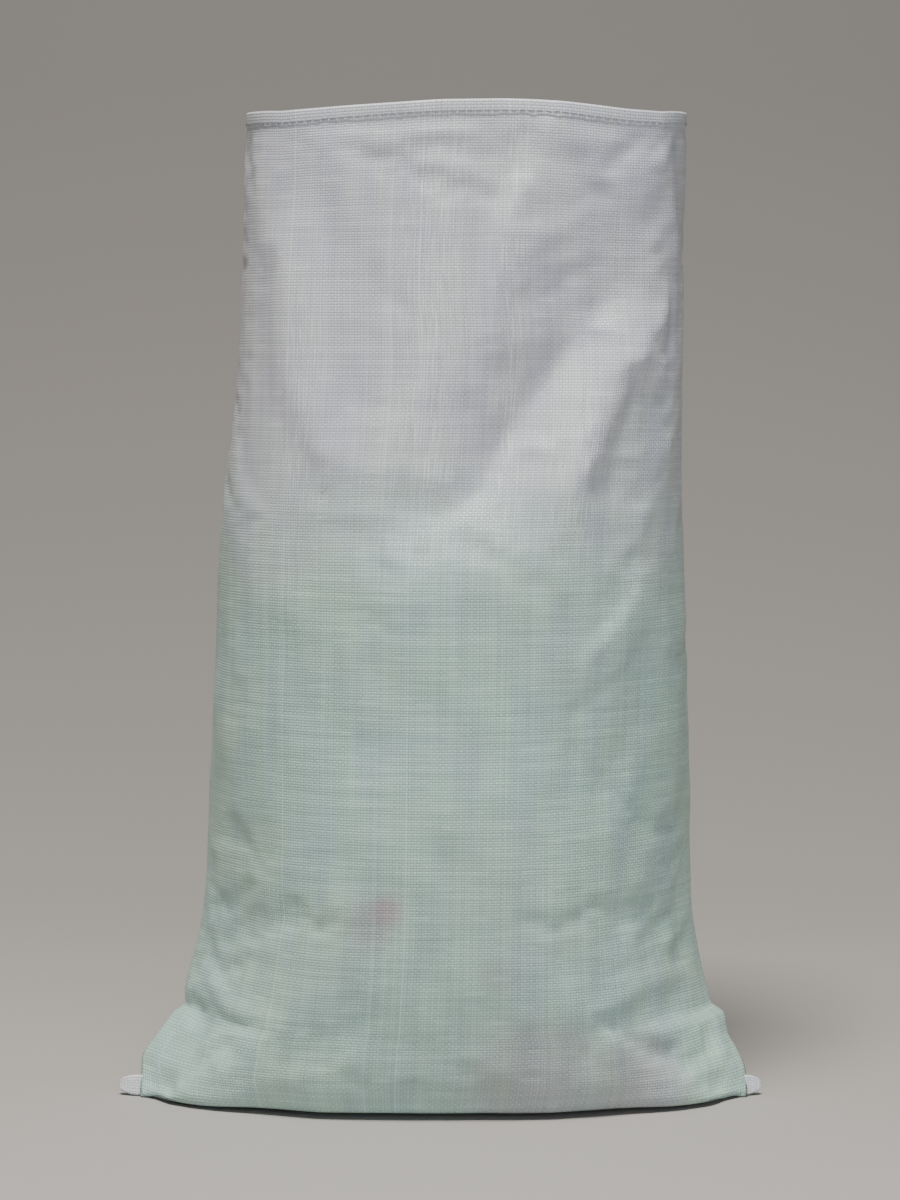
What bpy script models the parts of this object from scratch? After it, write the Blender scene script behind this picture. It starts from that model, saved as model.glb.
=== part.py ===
"""A woven polypropylene sack, standing open on the floor and a little over half full.

The sack is one tube of woven cloth. Its foot is folded flat and sewn, so the foot has a pointed ear at
each end, and its mouth has a narrow sewn hem. Loose light scraps fill the lower part. The front faces -Y,
X runs from ear to ear, and the origin is on the floor under the middle of the sack.
"""

import math

import bmesh
import bpy
import numpy as np

# The empty sack, laid flat
FLAT_WIDTH = 0.550
WALL = 0.0015
FOOT_THICKNESS = 0.0040
HEM_DEPTH = 0.012
HEM_THICKNESS = 0.0030

# The standing sack
STANDING_HEIGHT = 0.820
EAR_SPAN = 0.538
EAR_HEIGHT = 0.013
EAR_STEP = 0.013
FOOT_HALF_DEPTH = 0.090
HIP_WIDTH = 0.486
HIP_HEIGHT = 0.046
BELLY_WIDTH = 0.424
BELLY_HEIGHT = 0.160
WAIST_WIDTH = 0.385
WAIST_HEIGHT = 0.490
SHOULDER_WIDTH = 0.370
SHOULDER_HEIGHT = 0.600
MOUTH_WIDTH = 0.361
MOUTH_HALF_DEPTH = 0.128
CORNER_DROP = 0.006

# How far the middle of the sack has moved towards +X at each height
BELLY_LEAN = 0.0065
WAIST_LEAN = 0.0105
SHOULDER_LEAN = 0.0165
MOUTH_LEAN = 0.0220

# The plan outline is pointed at the foot and an ellipse at this height. From there to the mouth it flattens
ELLIPSE_HEIGHT = 0.340
POINTED_POWER = 4.0
POINTED_ROUNDING = 1.6
ELLIPSE_POWER = 2.0
ELLIPSE_ROUNDING = 0.5
SQUAREST_POWER = 12.0

# In a pointed end the hollow stops this many wall thicknesses short of the outline
TIP_INSET_RATIO = 8.0

# Over the fill the empty cloth hangs in by this much, front and back, and at the mouth its folds take up
# this share of the girth
SAG = 0.006
TAKEN_UP = 0.03

# The large folds of the front wall. Each runs through a few places, from its top down: how far across, as a
# share of the half width, and how far up, as a share of the standing height
HOLLOW_CREASE = ((0.68, 0.822), (0.44, 0.757), (0.22, 0.672), (0.08, 0.616), (-0.14, 0.600), (-0.65, 0.590))
CORNER_RIDGE = ((0.93, 0.822), (0.69, 0.702), (0.49, 0.618), (0.45, 0.576))
CORNER_HOLLOW = ((0.79, 0.815), (0.60, 0.807), (0.38, 0.786))
LEFT_RIDGE = ((-0.78, 0.865), (-0.76, 0.778), (-0.60, 0.658))
FILL_SHOULDER = ((0.38, 0.540), (0.0, 0.548), (-0.5, 0.550))

# How far each stands out from the wall, and how far its slopes reach to its left and to its right. A line
# that runs level to the left has its left side above it
HOLLOW_DEPTH, HOLLOW_REACH_LEFT, HOLLOW_REACH_RIGHT = 0.010, 0.080, 0.045
CORNER_RIDGE_HEIGHT, CORNER_REACH_LEFT, CORNER_REACH_RIGHT = 0.011, 0.050, 0.045
CORNER_HOLLOW_DEPTH, CORNER_HOLLOW_REACH_UP, CORNER_HOLLOW_REACH_DOWN = 0.006, 0.130, 0.030
LEFT_RIDGE_HEIGHT, LEFT_RIDGE_REACH = 0.004, 0.040
SHOULDER_STAND, SHOULDER_REACH = 0.004, 0.050

# The slopes fade out along the ends of a fold, and towards the sides of the sack
FOLD_END_SHARE, FOLD_END_LEFT = 0.2, 0.4
FACING_FROM, FACING_FULL = 0.35, 0.75

# The loose fill
FILL_HEIGHT = 0.455
FILL_CROWN = 0.040
FILL_CLEARANCE = 0.0006

# The sewing thread
THREAD_DIAMETER = 0.0012
THREAD_CLEARANCE = 0.0003
HEM_STITCH_DROP = 0.008
SEAM_END_GAP = 0.020

# How finely the soft forms are cut up
STEPS_AROUND = 56
RING_SPACING = 0.030
CROWN_RINGS = 5
THREAD_BEVEL_STEPS = 1
HALVINGS = 40
SHARP_FROM_DEGREES = 50


def clear_scene():
    for thing in list(bpy.data.objects):
        bpy.data.objects.remove(thing, do_unlink=True)


def make_material(name, colour, roughness):
    material = bpy.data.materials.new(name)
    material.use_nodes = True
    shader = material.node_tree.nodes["Principled BSDF"]
    shader.inputs["Base Color"].default_value = (*colour, 1.0)
    shader.inputs["Roughness"].default_value = roughness
    shader.inputs["Metallic"].default_value = 0.0
    return material


def woven_white():
    return make_material("woven_polypropylene", (0.53, 0.55, 0.55), 0.50)


def pale_scraps():
    return make_material("pale_green_scraps", (0.42, 0.60, 0.48), 0.65)


def grey_thread():
    return make_material("grey_thread", (0.22, 0.22, 0.23), 0.70)


def smooth_curve(knots):
    """A smooth curve through the knots, which never swings past them: height in, value out."""
    places = np.array([place for place, value in knots])
    values = np.array([value for place, value in knots])
    steps = np.diff(values) / np.diff(places)
    slopes = np.zeros(len(knots))
    slopes[0], slopes[-1] = steps[0], steps[-1]
    for i in range(1, len(knots) - 1):
        before, after = steps[i - 1], steps[i]
        slopes[i] = 2 * before * after / (before + after) if before * after > 0 else 0.0

    def value_at(place):
        i = int(np.clip(np.searchsorted(places, place) - 1, 0, len(steps) - 1))
        span = places[i + 1] - places[i]
        t = (place - places[i]) / span
        start, end = values[i], values[i + 1]
        out, into = slopes[i] * span, slopes[i + 1] * span
        return (
            start * (2 * t**3 - 3 * t**2 + 1)
            + out * (t**3 - 2 * t**2 + t)
            + end * (3 * t**2 - 2 * t**3)
            + into * (t**3 - t**2)
        )

    return value_at


half_width_at = smooth_curve([
    (EAR_HEIGHT + EAR_STEP, EAR_SPAN / 2 - EAR_STEP),
    (HIP_HEIGHT, HIP_WIDTH / 2),
    (BELLY_HEIGHT, BELLY_WIDTH / 2),
    (WAIST_HEIGHT, WAIST_WIDTH / 2),
    (SHOULDER_HEIGHT, SHOULDER_WIDTH / 2),
    (STANDING_HEIGHT, MOUTH_WIDTH / 2),
])
lean_at = smooth_curve([
    (0.0, 0.0),
    (BELLY_HEIGHT, BELLY_LEAN),
    (WAIST_HEIGHT, WAIST_LEAN),
    (SHOULDER_HEIGHT, SHOULDER_LEAN),
    (STANDING_HEIGHT, MOUTH_LEAN),
])


def section(half_width, half_depth, power, rounding):
    """The outline seen from above, counter-clockwise from the +X side, around its own middle."""
    points = []
    for step in range(STEPS_AROUND):
        angle = 2 * math.pi * step / STEPS_AROUND
        across = math.copysign(abs(math.cos(angle)) ** (2 / max(power, 2)), math.cos(angle))
        away = max(1 - abs(across) ** power, 0.0) ** rounding
        points.append((half_width * across, math.copysign(half_depth * away, math.sin(angle))))
    return np.array(points)


def outline_length(points):
    return float(np.linalg.norm(np.roll(points, -1, axis=0) - points, axis=1).sum())


def solve(too_short, low, high):
    """The value between low and high at which an outline that grows with it stops being too short."""
    for _ in range(HALVINGS):
        middle = (low + high) / 2
        if too_short(middle):
            low = middle
        else:
            high = middle
    return middle


def pointedness_at(height):
    """1 at the foot, 0 from the height at which the outline is an ellipse."""
    t = min(max(height / ELLIPSE_HEIGHT, 0.0), 1.0)
    return 1 - t * t * (3 - 2 * t)


def pointed_shape(height):
    share = pointedness_at(height)
    power = ELLIPSE_POWER + (POINTED_POWER - ELLIPSE_POWER) * share
    return power, ELLIPSE_ROUNDING + (POINTED_ROUNDING - ELLIPSE_ROUNDING) * share


def depth_from_girth(height):
    """The half depth at which the outline is as long as the cloth tube is round."""
    half_width = half_width_at(height)
    shape = pointed_shape(height)
    return solve(
        lambda depth: outline_length(section(half_width, depth, *shape)) < 2 * FLAT_WIDTH,
        0.0,
        FLAT_WIDTH,
    )


def lower_shape(height):
    """The girth sets the depth from the belly up. Below it the sack rounds under to its narrow foot."""
    full = depth_from_girth(max(height, BELLY_HEIGHT))
    share = min(height / BELLY_HEIGHT, 1.0)
    opening = math.sqrt(1 - (1 - share) ** 2)
    return FOOT_HALF_DEPTH + (full - FOOT_HALF_DEPTH) * opening, *pointed_shape(height)


def upper_shape(height):
    """The depth shrinks to the mouth's, and the girth, less its folds, sets how square the corners are."""
    share = (height - ELLIPSE_HEIGHT) / (STANDING_HEIGHT - ELLIPSE_HEIGHT)
    ease = share * share * (3 - 2 * share)
    half_depth = depth_from_girth(ELLIPSE_HEIGHT) * (1 - ease) + MOUTH_HALF_DEPTH * ease
    half_depth -= SAG * math.sin(math.pi * ease)
    half_width = half_width_at(height)
    girth = 2 * FLAT_WIDTH * (1 - TAKEN_UP * ease)
    power = solve(
        lambda power: outline_length(section(half_width, half_depth, power, 1 / power)) < girth,
        ELLIPSE_POWER,
        SQUAREST_POWER,
    )
    return half_depth, power, 1 / power


def shape_at(height):
    return upper_shape(height) if height > ELLIPSE_HEIGHT else lower_shape(height)


def lip_height(angle):
    """The lip is highest in the middle of the front and the back, and drops a little to its corners."""
    return STANDING_HEIGHT - CORNER_DROP * math.cos(angle) ** 2


def outline_at(height, inset=0.0):
    """The sack's outline at a height. Its inside stops short of the ears, which are two flat layers."""
    half_depth, power, rounding = shape_at(height)
    half_width = EAR_SPAN / 2 if height <= EAR_HEIGHT else half_width_at(height)
    if inset > 0:
        half_width = half_width_at(max(height, EAR_HEIGHT + EAR_STEP))
        half_width -= inset * TIP_INSET_RATIO * pointedness_at(height)
    return section(half_width - inset, half_depth - inset, power, rounding)


def tent(place, shares, stand, reach_left, reach_right):
    """How far a fold lifts the wall at a place (across, up): straight slopes down from its line."""
    heights = [up * STANDING_HEIGHT for across, up in shares]
    line = [np.array((share[0] * half_width_at(up), up)) for share, up in zip(shares, heights)]
    runs = [end - start for start, end in zip(line, line[1:])]
    lengths = [float(np.linalg.norm(run)) for run in runs]
    nearest, before = (math.inf, 0.0, 0.0), 0.0
    for start, run, length in zip(line, runs, lengths):
        part = min(max(float((place - start) @ run) / length ** 2, 0.0), 1.0)
        away = place - start - part * run
        side = run[0] * away[1] - run[1] * away[0]
        nearest = min(nearest, (float(np.linalg.norm(away)), side, (before + part * length) / sum(lengths)))
        before += length
    gap, side, along = nearest
    slope = max(1 - gap / (reach_right if side > 0 else reach_left), 0.0)
    fade = min(max(min(along, 1 - along) / FOLD_END_SHARE, FOLD_END_LEFT), 1.0)
    return stand * slope * fade


def front_lift(across, height):
    """How far the large folds move the front wall out at a place."""
    place = np.array((across, height))
    return (
        tent(place, HOLLOW_CREASE, -HOLLOW_DEPTH, HOLLOW_REACH_LEFT, HOLLOW_REACH_RIGHT)
        + tent(place, CORNER_RIDGE, CORNER_RIDGE_HEIGHT, CORNER_REACH_LEFT, CORNER_REACH_RIGHT)
        + tent(place, CORNER_HOLLOW, -CORNER_HOLLOW_DEPTH, CORNER_HOLLOW_REACH_UP, CORNER_HOLLOW_REACH_DOWN)
        + tent(place, LEFT_RIDGE, LEFT_RIDGE_HEIGHT, LEFT_RIDGE_REACH, LEFT_RIDGE_REACH)
        + tent(place, FILL_SHOULDER, SHOULDER_STAND, SHOULDER_REACH, SHOULDER_REACH)
    )


def ring(outline, height, drop_from_lip=None):
    """The outline at its height, with the front folds. With a drop it follows the lip and isn't level."""
    points = []
    for step, (x, y) in enumerate(outline):
        angle = 2 * math.pi * step / STEPS_AROUND
        z = height if drop_from_lip is None else lip_height(angle) - drop_from_lip
        facing = (y / outline[:, 1].min() - FACING_FROM) / (FACING_FULL - FACING_FROM)
        if facing > 0:
            y -= min(facing, 1.0) * front_lift(x, height)
        points.append((x + lean_at(height), y, z))
    return points


def heights_between(low, high):
    count = max(int(math.ceil((high - low) / RING_SPACING)), 1)
    return [low + (high - low) * i / count for i in range(count + 1)]


def bridge(mesh, rings):
    """Triangles between each ring and the next, split the same way whether the rings rise or fall."""
    rows = [[mesh.verts.new(point) for point in points] for points in rings]
    for first, second in zip(rows, rows[1:]):
        rising = first[0].co.z <= second[0].co.z
        lower, upper = (first, second) if rising else (second, first)
        for i in range(len(lower)):
            j = (i + 1) % len(lower)
            mesh.faces.new((lower[i], lower[j], upper[j]))
            mesh.faces.new((lower[i], upper[j], upper[i]))
    return rows


def cap(mesh, row, faces_down):
    """A flat strip of faces from the +X point to the -X point, across a ring."""
    count = len(row)
    for i in range(count // 2):
        near, far = row[i], row[i + 1]
        other_near, other_far = row[(count - i) % count], row[count - i - 1]
        corners = [near, far, other_far, other_near]
        if faces_down:
            corners.reverse()
        whole = [corner for k, corner in enumerate(corners) if corner is not corners[k - 1]]
        mesh.faces.new(whole)


def finish(name, mesh, material):
    bmesh.ops.recalc_face_normals(mesh, faces=mesh.faces)
    data = bpy.data.meshes.new(name)
    mesh.to_mesh(data)
    mesh.free()
    data.shade_smooth()
    data.set_sharp_from_angle(angle=math.radians(SHARP_FROM_DEGREES))
    data.materials.append(material)
    thing = bpy.data.objects.new(name, data)
    bpy.context.scene.collection.objects.link(thing)
    return thing


def filled_heights():
    """The rings up to the fill, which the wall and the fill share so that their faces lie side by side."""
    low = [FOOT_THICKNESS, EAR_HEIGHT, EAR_HEIGHT + EAR_STEP]
    return low + heights_between(HIP_HEIGHT, FILL_HEIGHT)


def empty_heights():
    return heights_between(FILL_HEIGHT, STANDING_HEIGHT - HEM_DEPTH - RING_SPACING)[1:]


def outer_rings():
    heights = [0.0] + filled_heights() + empty_heights()
    rings = [ring(outline_at(height), height) for height in heights]
    for drop in (HEM_DEPTH, HEM_STITCH_DROP, 0.0):
        height = STANDING_HEIGHT - drop
        rings.append(ring(outline_at(height), height, drop))
    return rings


def inner_rings():
    """From the lip down to the foot: the hem is thicker than the wall under it."""
    hem_foot = STANDING_HEIGHT - HEM_DEPTH
    rings = [
        ring(outline_at(STANDING_HEIGHT, HEM_THICKNESS), STANDING_HEIGHT, 0.0),
        ring(outline_at(hem_foot, HEM_THICKNESS), hem_foot, HEM_DEPTH),
        ring(outline_at(hem_foot, WALL), hem_foot, HEM_DEPTH + WALL),
    ]
    heights = filled_heights() + empty_heights()
    return rings + [ring(outline_at(height, WALL), height) for height in reversed(heights)]


def seam_groove():
    """The channel in the underside of the foot in which the seam's thread lies."""
    width = THREAD_DIAMETER + 2 * THREAD_CLEARANCE
    depth = THREAD_DIAMETER + 2 * THREAD_CLEARANCE
    length = EAR_SPAN - 2 * SEAM_END_GAP + 2 * THREAD_CLEARANCE
    mesh = bmesh.new()
    bmesh.ops.create_cube(mesh, size=1.0)
    bmesh.ops.scale(mesh, vec=(length, width, 2 * depth), verts=mesh.verts)
    cutter = finish("seam_groove_cutter", mesh, grey_thread())
    cutter.hide_render = True
    cutter.display_type = "WIRE"
    return cutter


def make_sack():
    mesh = bmesh.new()
    rows = bridge(mesh, outer_rings() + inner_rings())
    cap(mesh, rows[0], faces_down=True)
    cap(mesh, rows[-1], faces_down=False)
    sack = finish("sack", mesh, woven_white())
    cut = sack.modifiers.new("seam groove", "BOOLEAN")
    cut.object = seam_groove()
    cut.solver = "EXACT"
    return sack


def make_contents():
    """The scraps lie against the wall all round and rise to a low crown in the middle."""
    rings = [ring(outline_at(height, WALL + FILL_CLEARANCE), height) for height in filled_heights()]
    rings[0] = [(x, y, z + FILL_CLEARANCE) for x, y, z in rings[0]]
    rim = np.array(rings[-1])
    middle = rim.mean(axis=0)
    for step in range(1, CROWN_RINGS):
        share = step / CROWN_RINGS
        lift = np.array((0.0, 0.0, FILL_CROWN * math.sin(share * math.pi / 2)))
        rings.append([tuple(point) for point in rim + (middle - rim) * share + lift])
    mesh = bmesh.new()
    rows = bridge(mesh, rings)
    cap(mesh, rows[0], faces_down=True)
    peak = mesh.verts.new(middle + np.array((0.0, 0.0, FILL_CROWN)))
    top = rows[-1]
    for i in range(len(top)):
        mesh.faces.new((top[i], top[(i + 1) % len(top)], peak))
    return finish("contents", mesh, pale_scraps())


def make_thread(name, points, closed):
    curve = bpy.data.curves.new(name, "CURVE")
    curve.dimensions = "3D"
    curve.bevel_depth = THREAD_DIAMETER / 2
    curve.bevel_resolution = THREAD_BEVEL_STEPS
    curve.use_fill_caps = not closed
    spline = curve.splines.new("POLY")
    spline.points.add(len(points) - 1)
    for target, point in zip(spline.points, points):
        target.co = (*point, 1.0)
    spline.use_cyclic_u = closed
    curve.materials.append(grey_thread())
    thing = bpy.data.objects.new(name, curve)
    bpy.context.scene.collection.objects.link(thing)
    return thing


def make_hem_thread():
    """The stitch line runs round the outside of the hem, a little under the lip."""
    height = STANDING_HEIGHT - HEM_STITCH_DROP
    outline = outline_at(height, -THREAD_DIAMETER / 2 - THREAD_CLEARANCE)
    return make_thread("mouth_hem_thread", ring(outline, height, HEM_STITCH_DROP), closed=True)


def make_seam_thread():
    reach = EAR_SPAN / 2 - SEAM_END_GAP
    height = THREAD_DIAMETER / 2 + THREAD_CLEARANCE
    ends = [(-reach, 0.0, height), (reach, 0.0, height)]
    return make_thread("bottom_seam_thread", ends, closed=False)


def main():
    clear_scene()
    make_sack()
    make_contents()
    make_hem_thread()
    make_seam_thread()


main()
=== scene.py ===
# %% [markdown]
# A woven sack, part filled and standing open
#
# The real thing is one tube of white polypropylene tape cloth. Its foot is folded over and sewn,
# its mouth is hemmed, and loose scraps of something light fill it a little over half way.
# The frame is the plain sized model. Everything below is fitted to it: the cloth follows its outline,
# and the looks never change its size.

# %% Load the frame
import functools
import math

import bpy
import numpy as np
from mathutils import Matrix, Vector
from mathutils.bvhtree import BVHTree


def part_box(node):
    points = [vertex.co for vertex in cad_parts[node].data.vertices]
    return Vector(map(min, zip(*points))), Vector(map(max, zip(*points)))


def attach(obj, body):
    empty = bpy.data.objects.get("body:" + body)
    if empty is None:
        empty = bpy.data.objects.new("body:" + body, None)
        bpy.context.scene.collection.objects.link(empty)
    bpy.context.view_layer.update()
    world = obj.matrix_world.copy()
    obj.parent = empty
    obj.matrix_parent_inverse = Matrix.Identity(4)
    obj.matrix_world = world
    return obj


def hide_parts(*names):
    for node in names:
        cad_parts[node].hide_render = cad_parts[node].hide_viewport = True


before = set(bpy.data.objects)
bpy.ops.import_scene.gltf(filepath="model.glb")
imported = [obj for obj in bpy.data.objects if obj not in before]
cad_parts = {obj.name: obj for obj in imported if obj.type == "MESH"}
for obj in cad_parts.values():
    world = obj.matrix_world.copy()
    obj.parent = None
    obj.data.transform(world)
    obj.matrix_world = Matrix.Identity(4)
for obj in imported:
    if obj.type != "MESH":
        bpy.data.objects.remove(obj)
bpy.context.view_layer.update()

sack_low, sack_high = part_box("sack")
fill_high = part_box("contents")[1]
print("sack", [round(v, 3) for v in sack_low], [round(v, 3) for v in sack_high])

# %% [markdown]
# The camera stands where the photograph was taken from: 2.4 m away and a little below the mouth, with a
# long lens. Those are estimates from the sack's outline. A camera at eye height would look down into the
# mouth, and this one sees only the front wall. A small function turns a pixel of the photograph into a
# ray, because the folds further down are placed by pixels of the picture.

# %% Camera
FRAME_WIDTH, FRAME_HEIGHT = 900, 1200
FOCAL_PIXELS = 2865
CAMERA_DISTANCE, CAMERA_HEIGHT = 2.40, 0.610
AIM_HEIGHT, AIM_SIDE = 0.4135, 0.0083
SENSOR_HEIGHT = 24

camera_data = bpy.data.cameras.new("photo_camera")
camera_data.sensor_fit = "VERTICAL"
camera_data.sensor_height = SENSOR_HEIGHT
camera_data.lens = SENSOR_HEIGHT * FOCAL_PIXELS / FRAME_HEIGHT
camera = bpy.data.objects.new("photo_camera", camera_data)
bpy.context.scene.collection.objects.link(camera)
camera.location = (AIM_SIDE, -CAMERA_DISTANCE, CAMERA_HEIGHT)
view_line = Vector((AIM_SIDE, 0, AIM_HEIGHT)) - camera.location
camera.rotation_euler = view_line.to_track_quat("-Z", "Y").to_euler()
bpy.context.scene.camera = camera


def ray_through(pixel):
    """Direction from the camera through a pixel of the 900 by 1200 photograph."""
    across = (pixel[0] - FRAME_WIDTH / 2) / FOCAL_PIXELS
    up = (FRAME_HEIGHT / 2 - pixel[1]) / FOCAL_PIXELS
    return (camera.rotation_euler.to_quaternion() @ Vector((across, up, -1))).normalized()


print("lens", round(camera_data.lens, 1), "mm")

# %% [markdown]
# Colours are picked as sRGB hex values, the way a swatch is read off a screen. Shaders work in linear
# light, so one function converts them. Two more do what every piece needs: one adds a node with its
# settings and its links, and one puts a mesh of given points and faces into the scene.

# %% Colour, node and mesh helpers


def linear(hex_colour):
    """Linear RGBA of an sRGB hex colour."""
    channels = [int(hex_colour[i:i + 2], 16) / 255 for i in (1, 3, 5)]
    return [c / 12.92 if c <= 0.04045 else ((c + 0.055) / 1.055) ** 2.4 for c in channels] + [1.0]


def add_node(tree, kind, inputs=None, **settings):
    """Adds a node, sets its properties and fills its inputs with values, sockets or other nodes."""
    node = tree.nodes.new(kind)
    for name, value in settings.items():
        setattr(node, name, value)
    for name, value in (inputs or {}).items():
        if isinstance(value, bpy.types.Node):
            value = value.outputs[0]
        if isinstance(value, bpy.types.NodeSocket):
            tree.links.new(value, node.inputs[name])
        else:
            node.inputs[name].default_value = value
    return node


def new_material(name):
    """An empty node material and its Principled shader."""
    material = bpy.data.materials.new(name)
    material.use_nodes = True
    return material, material.node_tree, material.node_tree.nodes["Principled BSDF"]


def mesh_object(name, corners, faces, edges=(), flat=None):
    """A new object in the scene, from points with faces or edges, and its places on the flat cloth."""
    mesh = bpy.data.meshes.new(name)
    mesh.from_pydata(np.array(corners).tolist(), edges, faces)
    if flat is not None:
        mesh.uv_layers.new(name="cut").data.foreach_set("uv", np.array(flat).ravel())
    mesh.update()
    made = bpy.data.objects.new(name, mesh)
    bpy.context.scene.collection.objects.link(made)
    return made


# %% [markdown]
# The cloth starts from slices of the frame's sack. At each height, rays shot at the sack from the front,
# the back and both sides give its outline, and every outline gets the same number of points, evenly
# spaced along the cloth. So a column of points is one upright thread, and a row is one thread round the
# tube. A few more rows make the underside, from the line of the seam out to the first slice. That grid is
# what a simulation and a weave both want: cells of one size that are nearly square.

# %% Slice the frame's sack
FLAT_WIDTH, FLAT_LENGTH = 0.550, 0.950
COLUMNS = 112
HALF = COLUMNS // 2
BASE_ROWS, WALL_ROWS = 5, 95
ROWS = BASE_ROWS + WALL_ROWS
FIRST_SLICE, LAST_SLICE = 0.004, 0.806
SLICE_RAYS = 121
RAY_START = 0.6
NEARLY_MIDDLE = 1e-5
FLOOR_GAP = 0.0015

sack_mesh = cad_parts["sack"].data
sack_tree = BVHTree.FromPolygons([v.co for v in sack_mesh.vertices], [p.vertices for p in sack_mesh.polygons])


def outer_wall(start, direction):
    """Where a ray meets the outside of the frame's sack."""
    return sack_tree.ray_cast(Vector(start), Vector(direction))[0]


def evenly(points, count):
    """The same line with count points, evenly spaced along it, without its last one."""
    along = np.r_[0, np.cumsum(np.linalg.norm(np.diff(points, axis=0), axis=1))]
    steps = np.linspace(0, along[-1], count + 1)[:-1]
    return np.stack([np.interp(steps, along, points[:, i]) for i in range(2)], 1)


def slice_at(height):
    """Outline of the sack at a height: from the +X corner over the back to -X, and over the front home."""
    height = min(max(height, FIRST_SLICE), LAST_SLICE)
    right = outer_wall((RAY_START, NEARLY_MIDDLE, height), (-1, 0, 0)).x
    left = outer_wall((-RAY_START, NEARLY_MIDDLE, height), (1, 0, 0)).x
    turns = np.linspace(0, math.pi, SLICE_RAYS)[1:-1]
    halves = []
    for side in (1, -1):
        line = [(right, 0)]
        for turn in turns:
            x = (right + left) / 2 + (right - left) / 2 * math.cos(turn)
            line.append((x, outer_wall((x, side * RAY_START, height), (0, -side, 0)).y))
        line.append((left, 0))
        halves.append(np.array(line))
    return np.vstack([evenly(halves[0], HALF), evenly(halves[1][::-1], HALF)])


around = np.arange(COLUMNS) / COLUMNS * 2 * FLAT_WIDTH
flat_x = np.where(around <= FLAT_WIDTH, FLAT_WIDTH / 2 - around, around - 1.5 * FLAT_WIDTH)
foot_outline = slice_at(FIRST_SLICE)
grid = np.zeros((ROWS + 1, COLUMNS, 3))
for row in range(BASE_ROWS + 1):
    outward = row / BASE_ROWS
    grid[row, :, 0] = flat_x * 2 * sack_high.x / FLAT_WIDTH * (1 - outward) + foot_outline[:, 0] * outward
    grid[row, :, 1] = foot_outline[:, 1] * outward
    grid[row, :, 2] = FLOOR_GAP + (FIRST_SLICE - FLOOR_GAP) * outward
for row in range(BASE_ROWS + 1, ROWS + 1):
    height = FIRST_SLICE + (sack_high.z - FIRST_SLICE) * (row - BASE_ROWS) / WALL_ROWS
    grid[row, :, :2] = slice_at(height)
    grid[row, :, 2] = height
half_way = grid[ROWS // 2]
girth = np.linalg.norm(half_way - np.roll(half_way, 1, 0), axis=1).sum()
print("grid", grid.shape, "girth", round(float(girth), 3))

# %% [markdown]
# The slices are smoothed a little. Two places keep more of the frame's own form: the corners, up to 12 cm,
# which stay a little pointed, and all the rest in the lowest few centimetres. Then the front of the lip is
# lowered as the photograph shows it: highest a little to the right of the middle, and lowest a few
# centimetres short of each corner, where the cloth's own weight bends the hem.

# %% Smooth the slices


def smoothed(values, passes, axis):
    """Averages each point with its neighbours; the grid closes on itself round the sack, not up it."""
    for _ in range(passes):
        if axis == 1:
            values = 0.5 * values + 0.25 * (np.roll(values, 1, 1) + np.roll(values, -1, 1))
        else:
            inner = 0.5 * values[1:-1] + 0.25 * (values[:-2] + values[2:])
            values = np.concatenate([values[:1], inner, values[-1:]])
    return values


CORNER_HEIGHT, FOOT_HEIGHT = 0.12, 0.040
CORNER_SHARES = (0.5, 0.3, 0.1, 0.0)
CORNER_FADE, FOOT_KEPT = 4, 1.2
SMOOTH_ROUND, SMOOTH_UP = 4, 6
CORNER_DROP = 0.006
LIP_PLACES = (-0.164, -0.150, -0.125, -0.100, -0.075, -0.050, 0.0,
              0.050, 0.075, 0.100, 0.125, 0.150, 0.175, 0.203)
LIP_DROPS = (0.005, 0.0075, 0.0095, 0.0085, 0.0070, 0.0055, 0.0024,
             0.0018, 0.0024, 0.0040, 0.0065, 0.0090, 0.0095, 0.006)
LIP_START = 0.85
SIDE_DEPTH = 0.06
wall = grid[BASE_ROWS:]
rounded = smoothed(smoothed(wall, SMOOTH_ROUND, 1), SMOOTH_UP, 0)
from_corner = np.abs((np.arange(COLUMNS) + HALF // 2) % HALF - HALF // 2)
corner = np.interp(from_corner, range(len(CORNER_SHARES)), CORNER_SHARES)
keep = corner * np.clip(1 - wall[:, :, 2] / CORNER_HEIGHT, 0, 1)
off_corner = np.clip((from_corner - len(CORNER_SHARES) + 1) / CORNER_FADE, 0, 1)
keep = np.maximum(keep, off_corner * np.clip(FOOT_KEPT - wall[:, :, 2] / FOOT_HEIGHT, 0, 1))
grid[BASE_ROWS:] = wall * keep[:, :, None] + rounded * (1 - keep[:, :, None])
lip_turn = np.arctan2(grid[-1, :, 1], grid[-1, :, 0] - grid[-1, :, 0].mean())
plain_drop = CORNER_DROP * np.cos(lip_turn) ** 2
in_front = np.clip(-grid[-1, :, 1] / SIDE_DEPTH, 0, 1)
lip_drop = plain_drop + (np.interp(grid[-1, :, 0], LIP_PLACES, LIP_DROPS) - plain_drop) * in_front
near_lip = np.clip((np.arange(ROWS + 1) / ROWS - LIP_START) / (1 - LIP_START), 0, 1)
grid[:, :, 2] -= near_lip[:, None] * lip_drop[None, :]
print("lip drops", [round(float(drop * 1000), 1) for drop in (lip_drop.min(), lip_drop.max())], "mm")

# %% [markdown]
# The widest part of the frame is its sewn corners. On the real sack the outermost one or two centimetres
# are only the end of the folded foot, a flat tab, so the filled body stops short of it. The photograph also
# shows a nearly straight front edge on the floor: the filled foot has rolled forward over its seam, most of
# all near the corners. That move fades out with height. Between the corners the fill pushes the lowest few
# centimetres of the front outwards, so most of the undercut there is filled.

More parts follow.
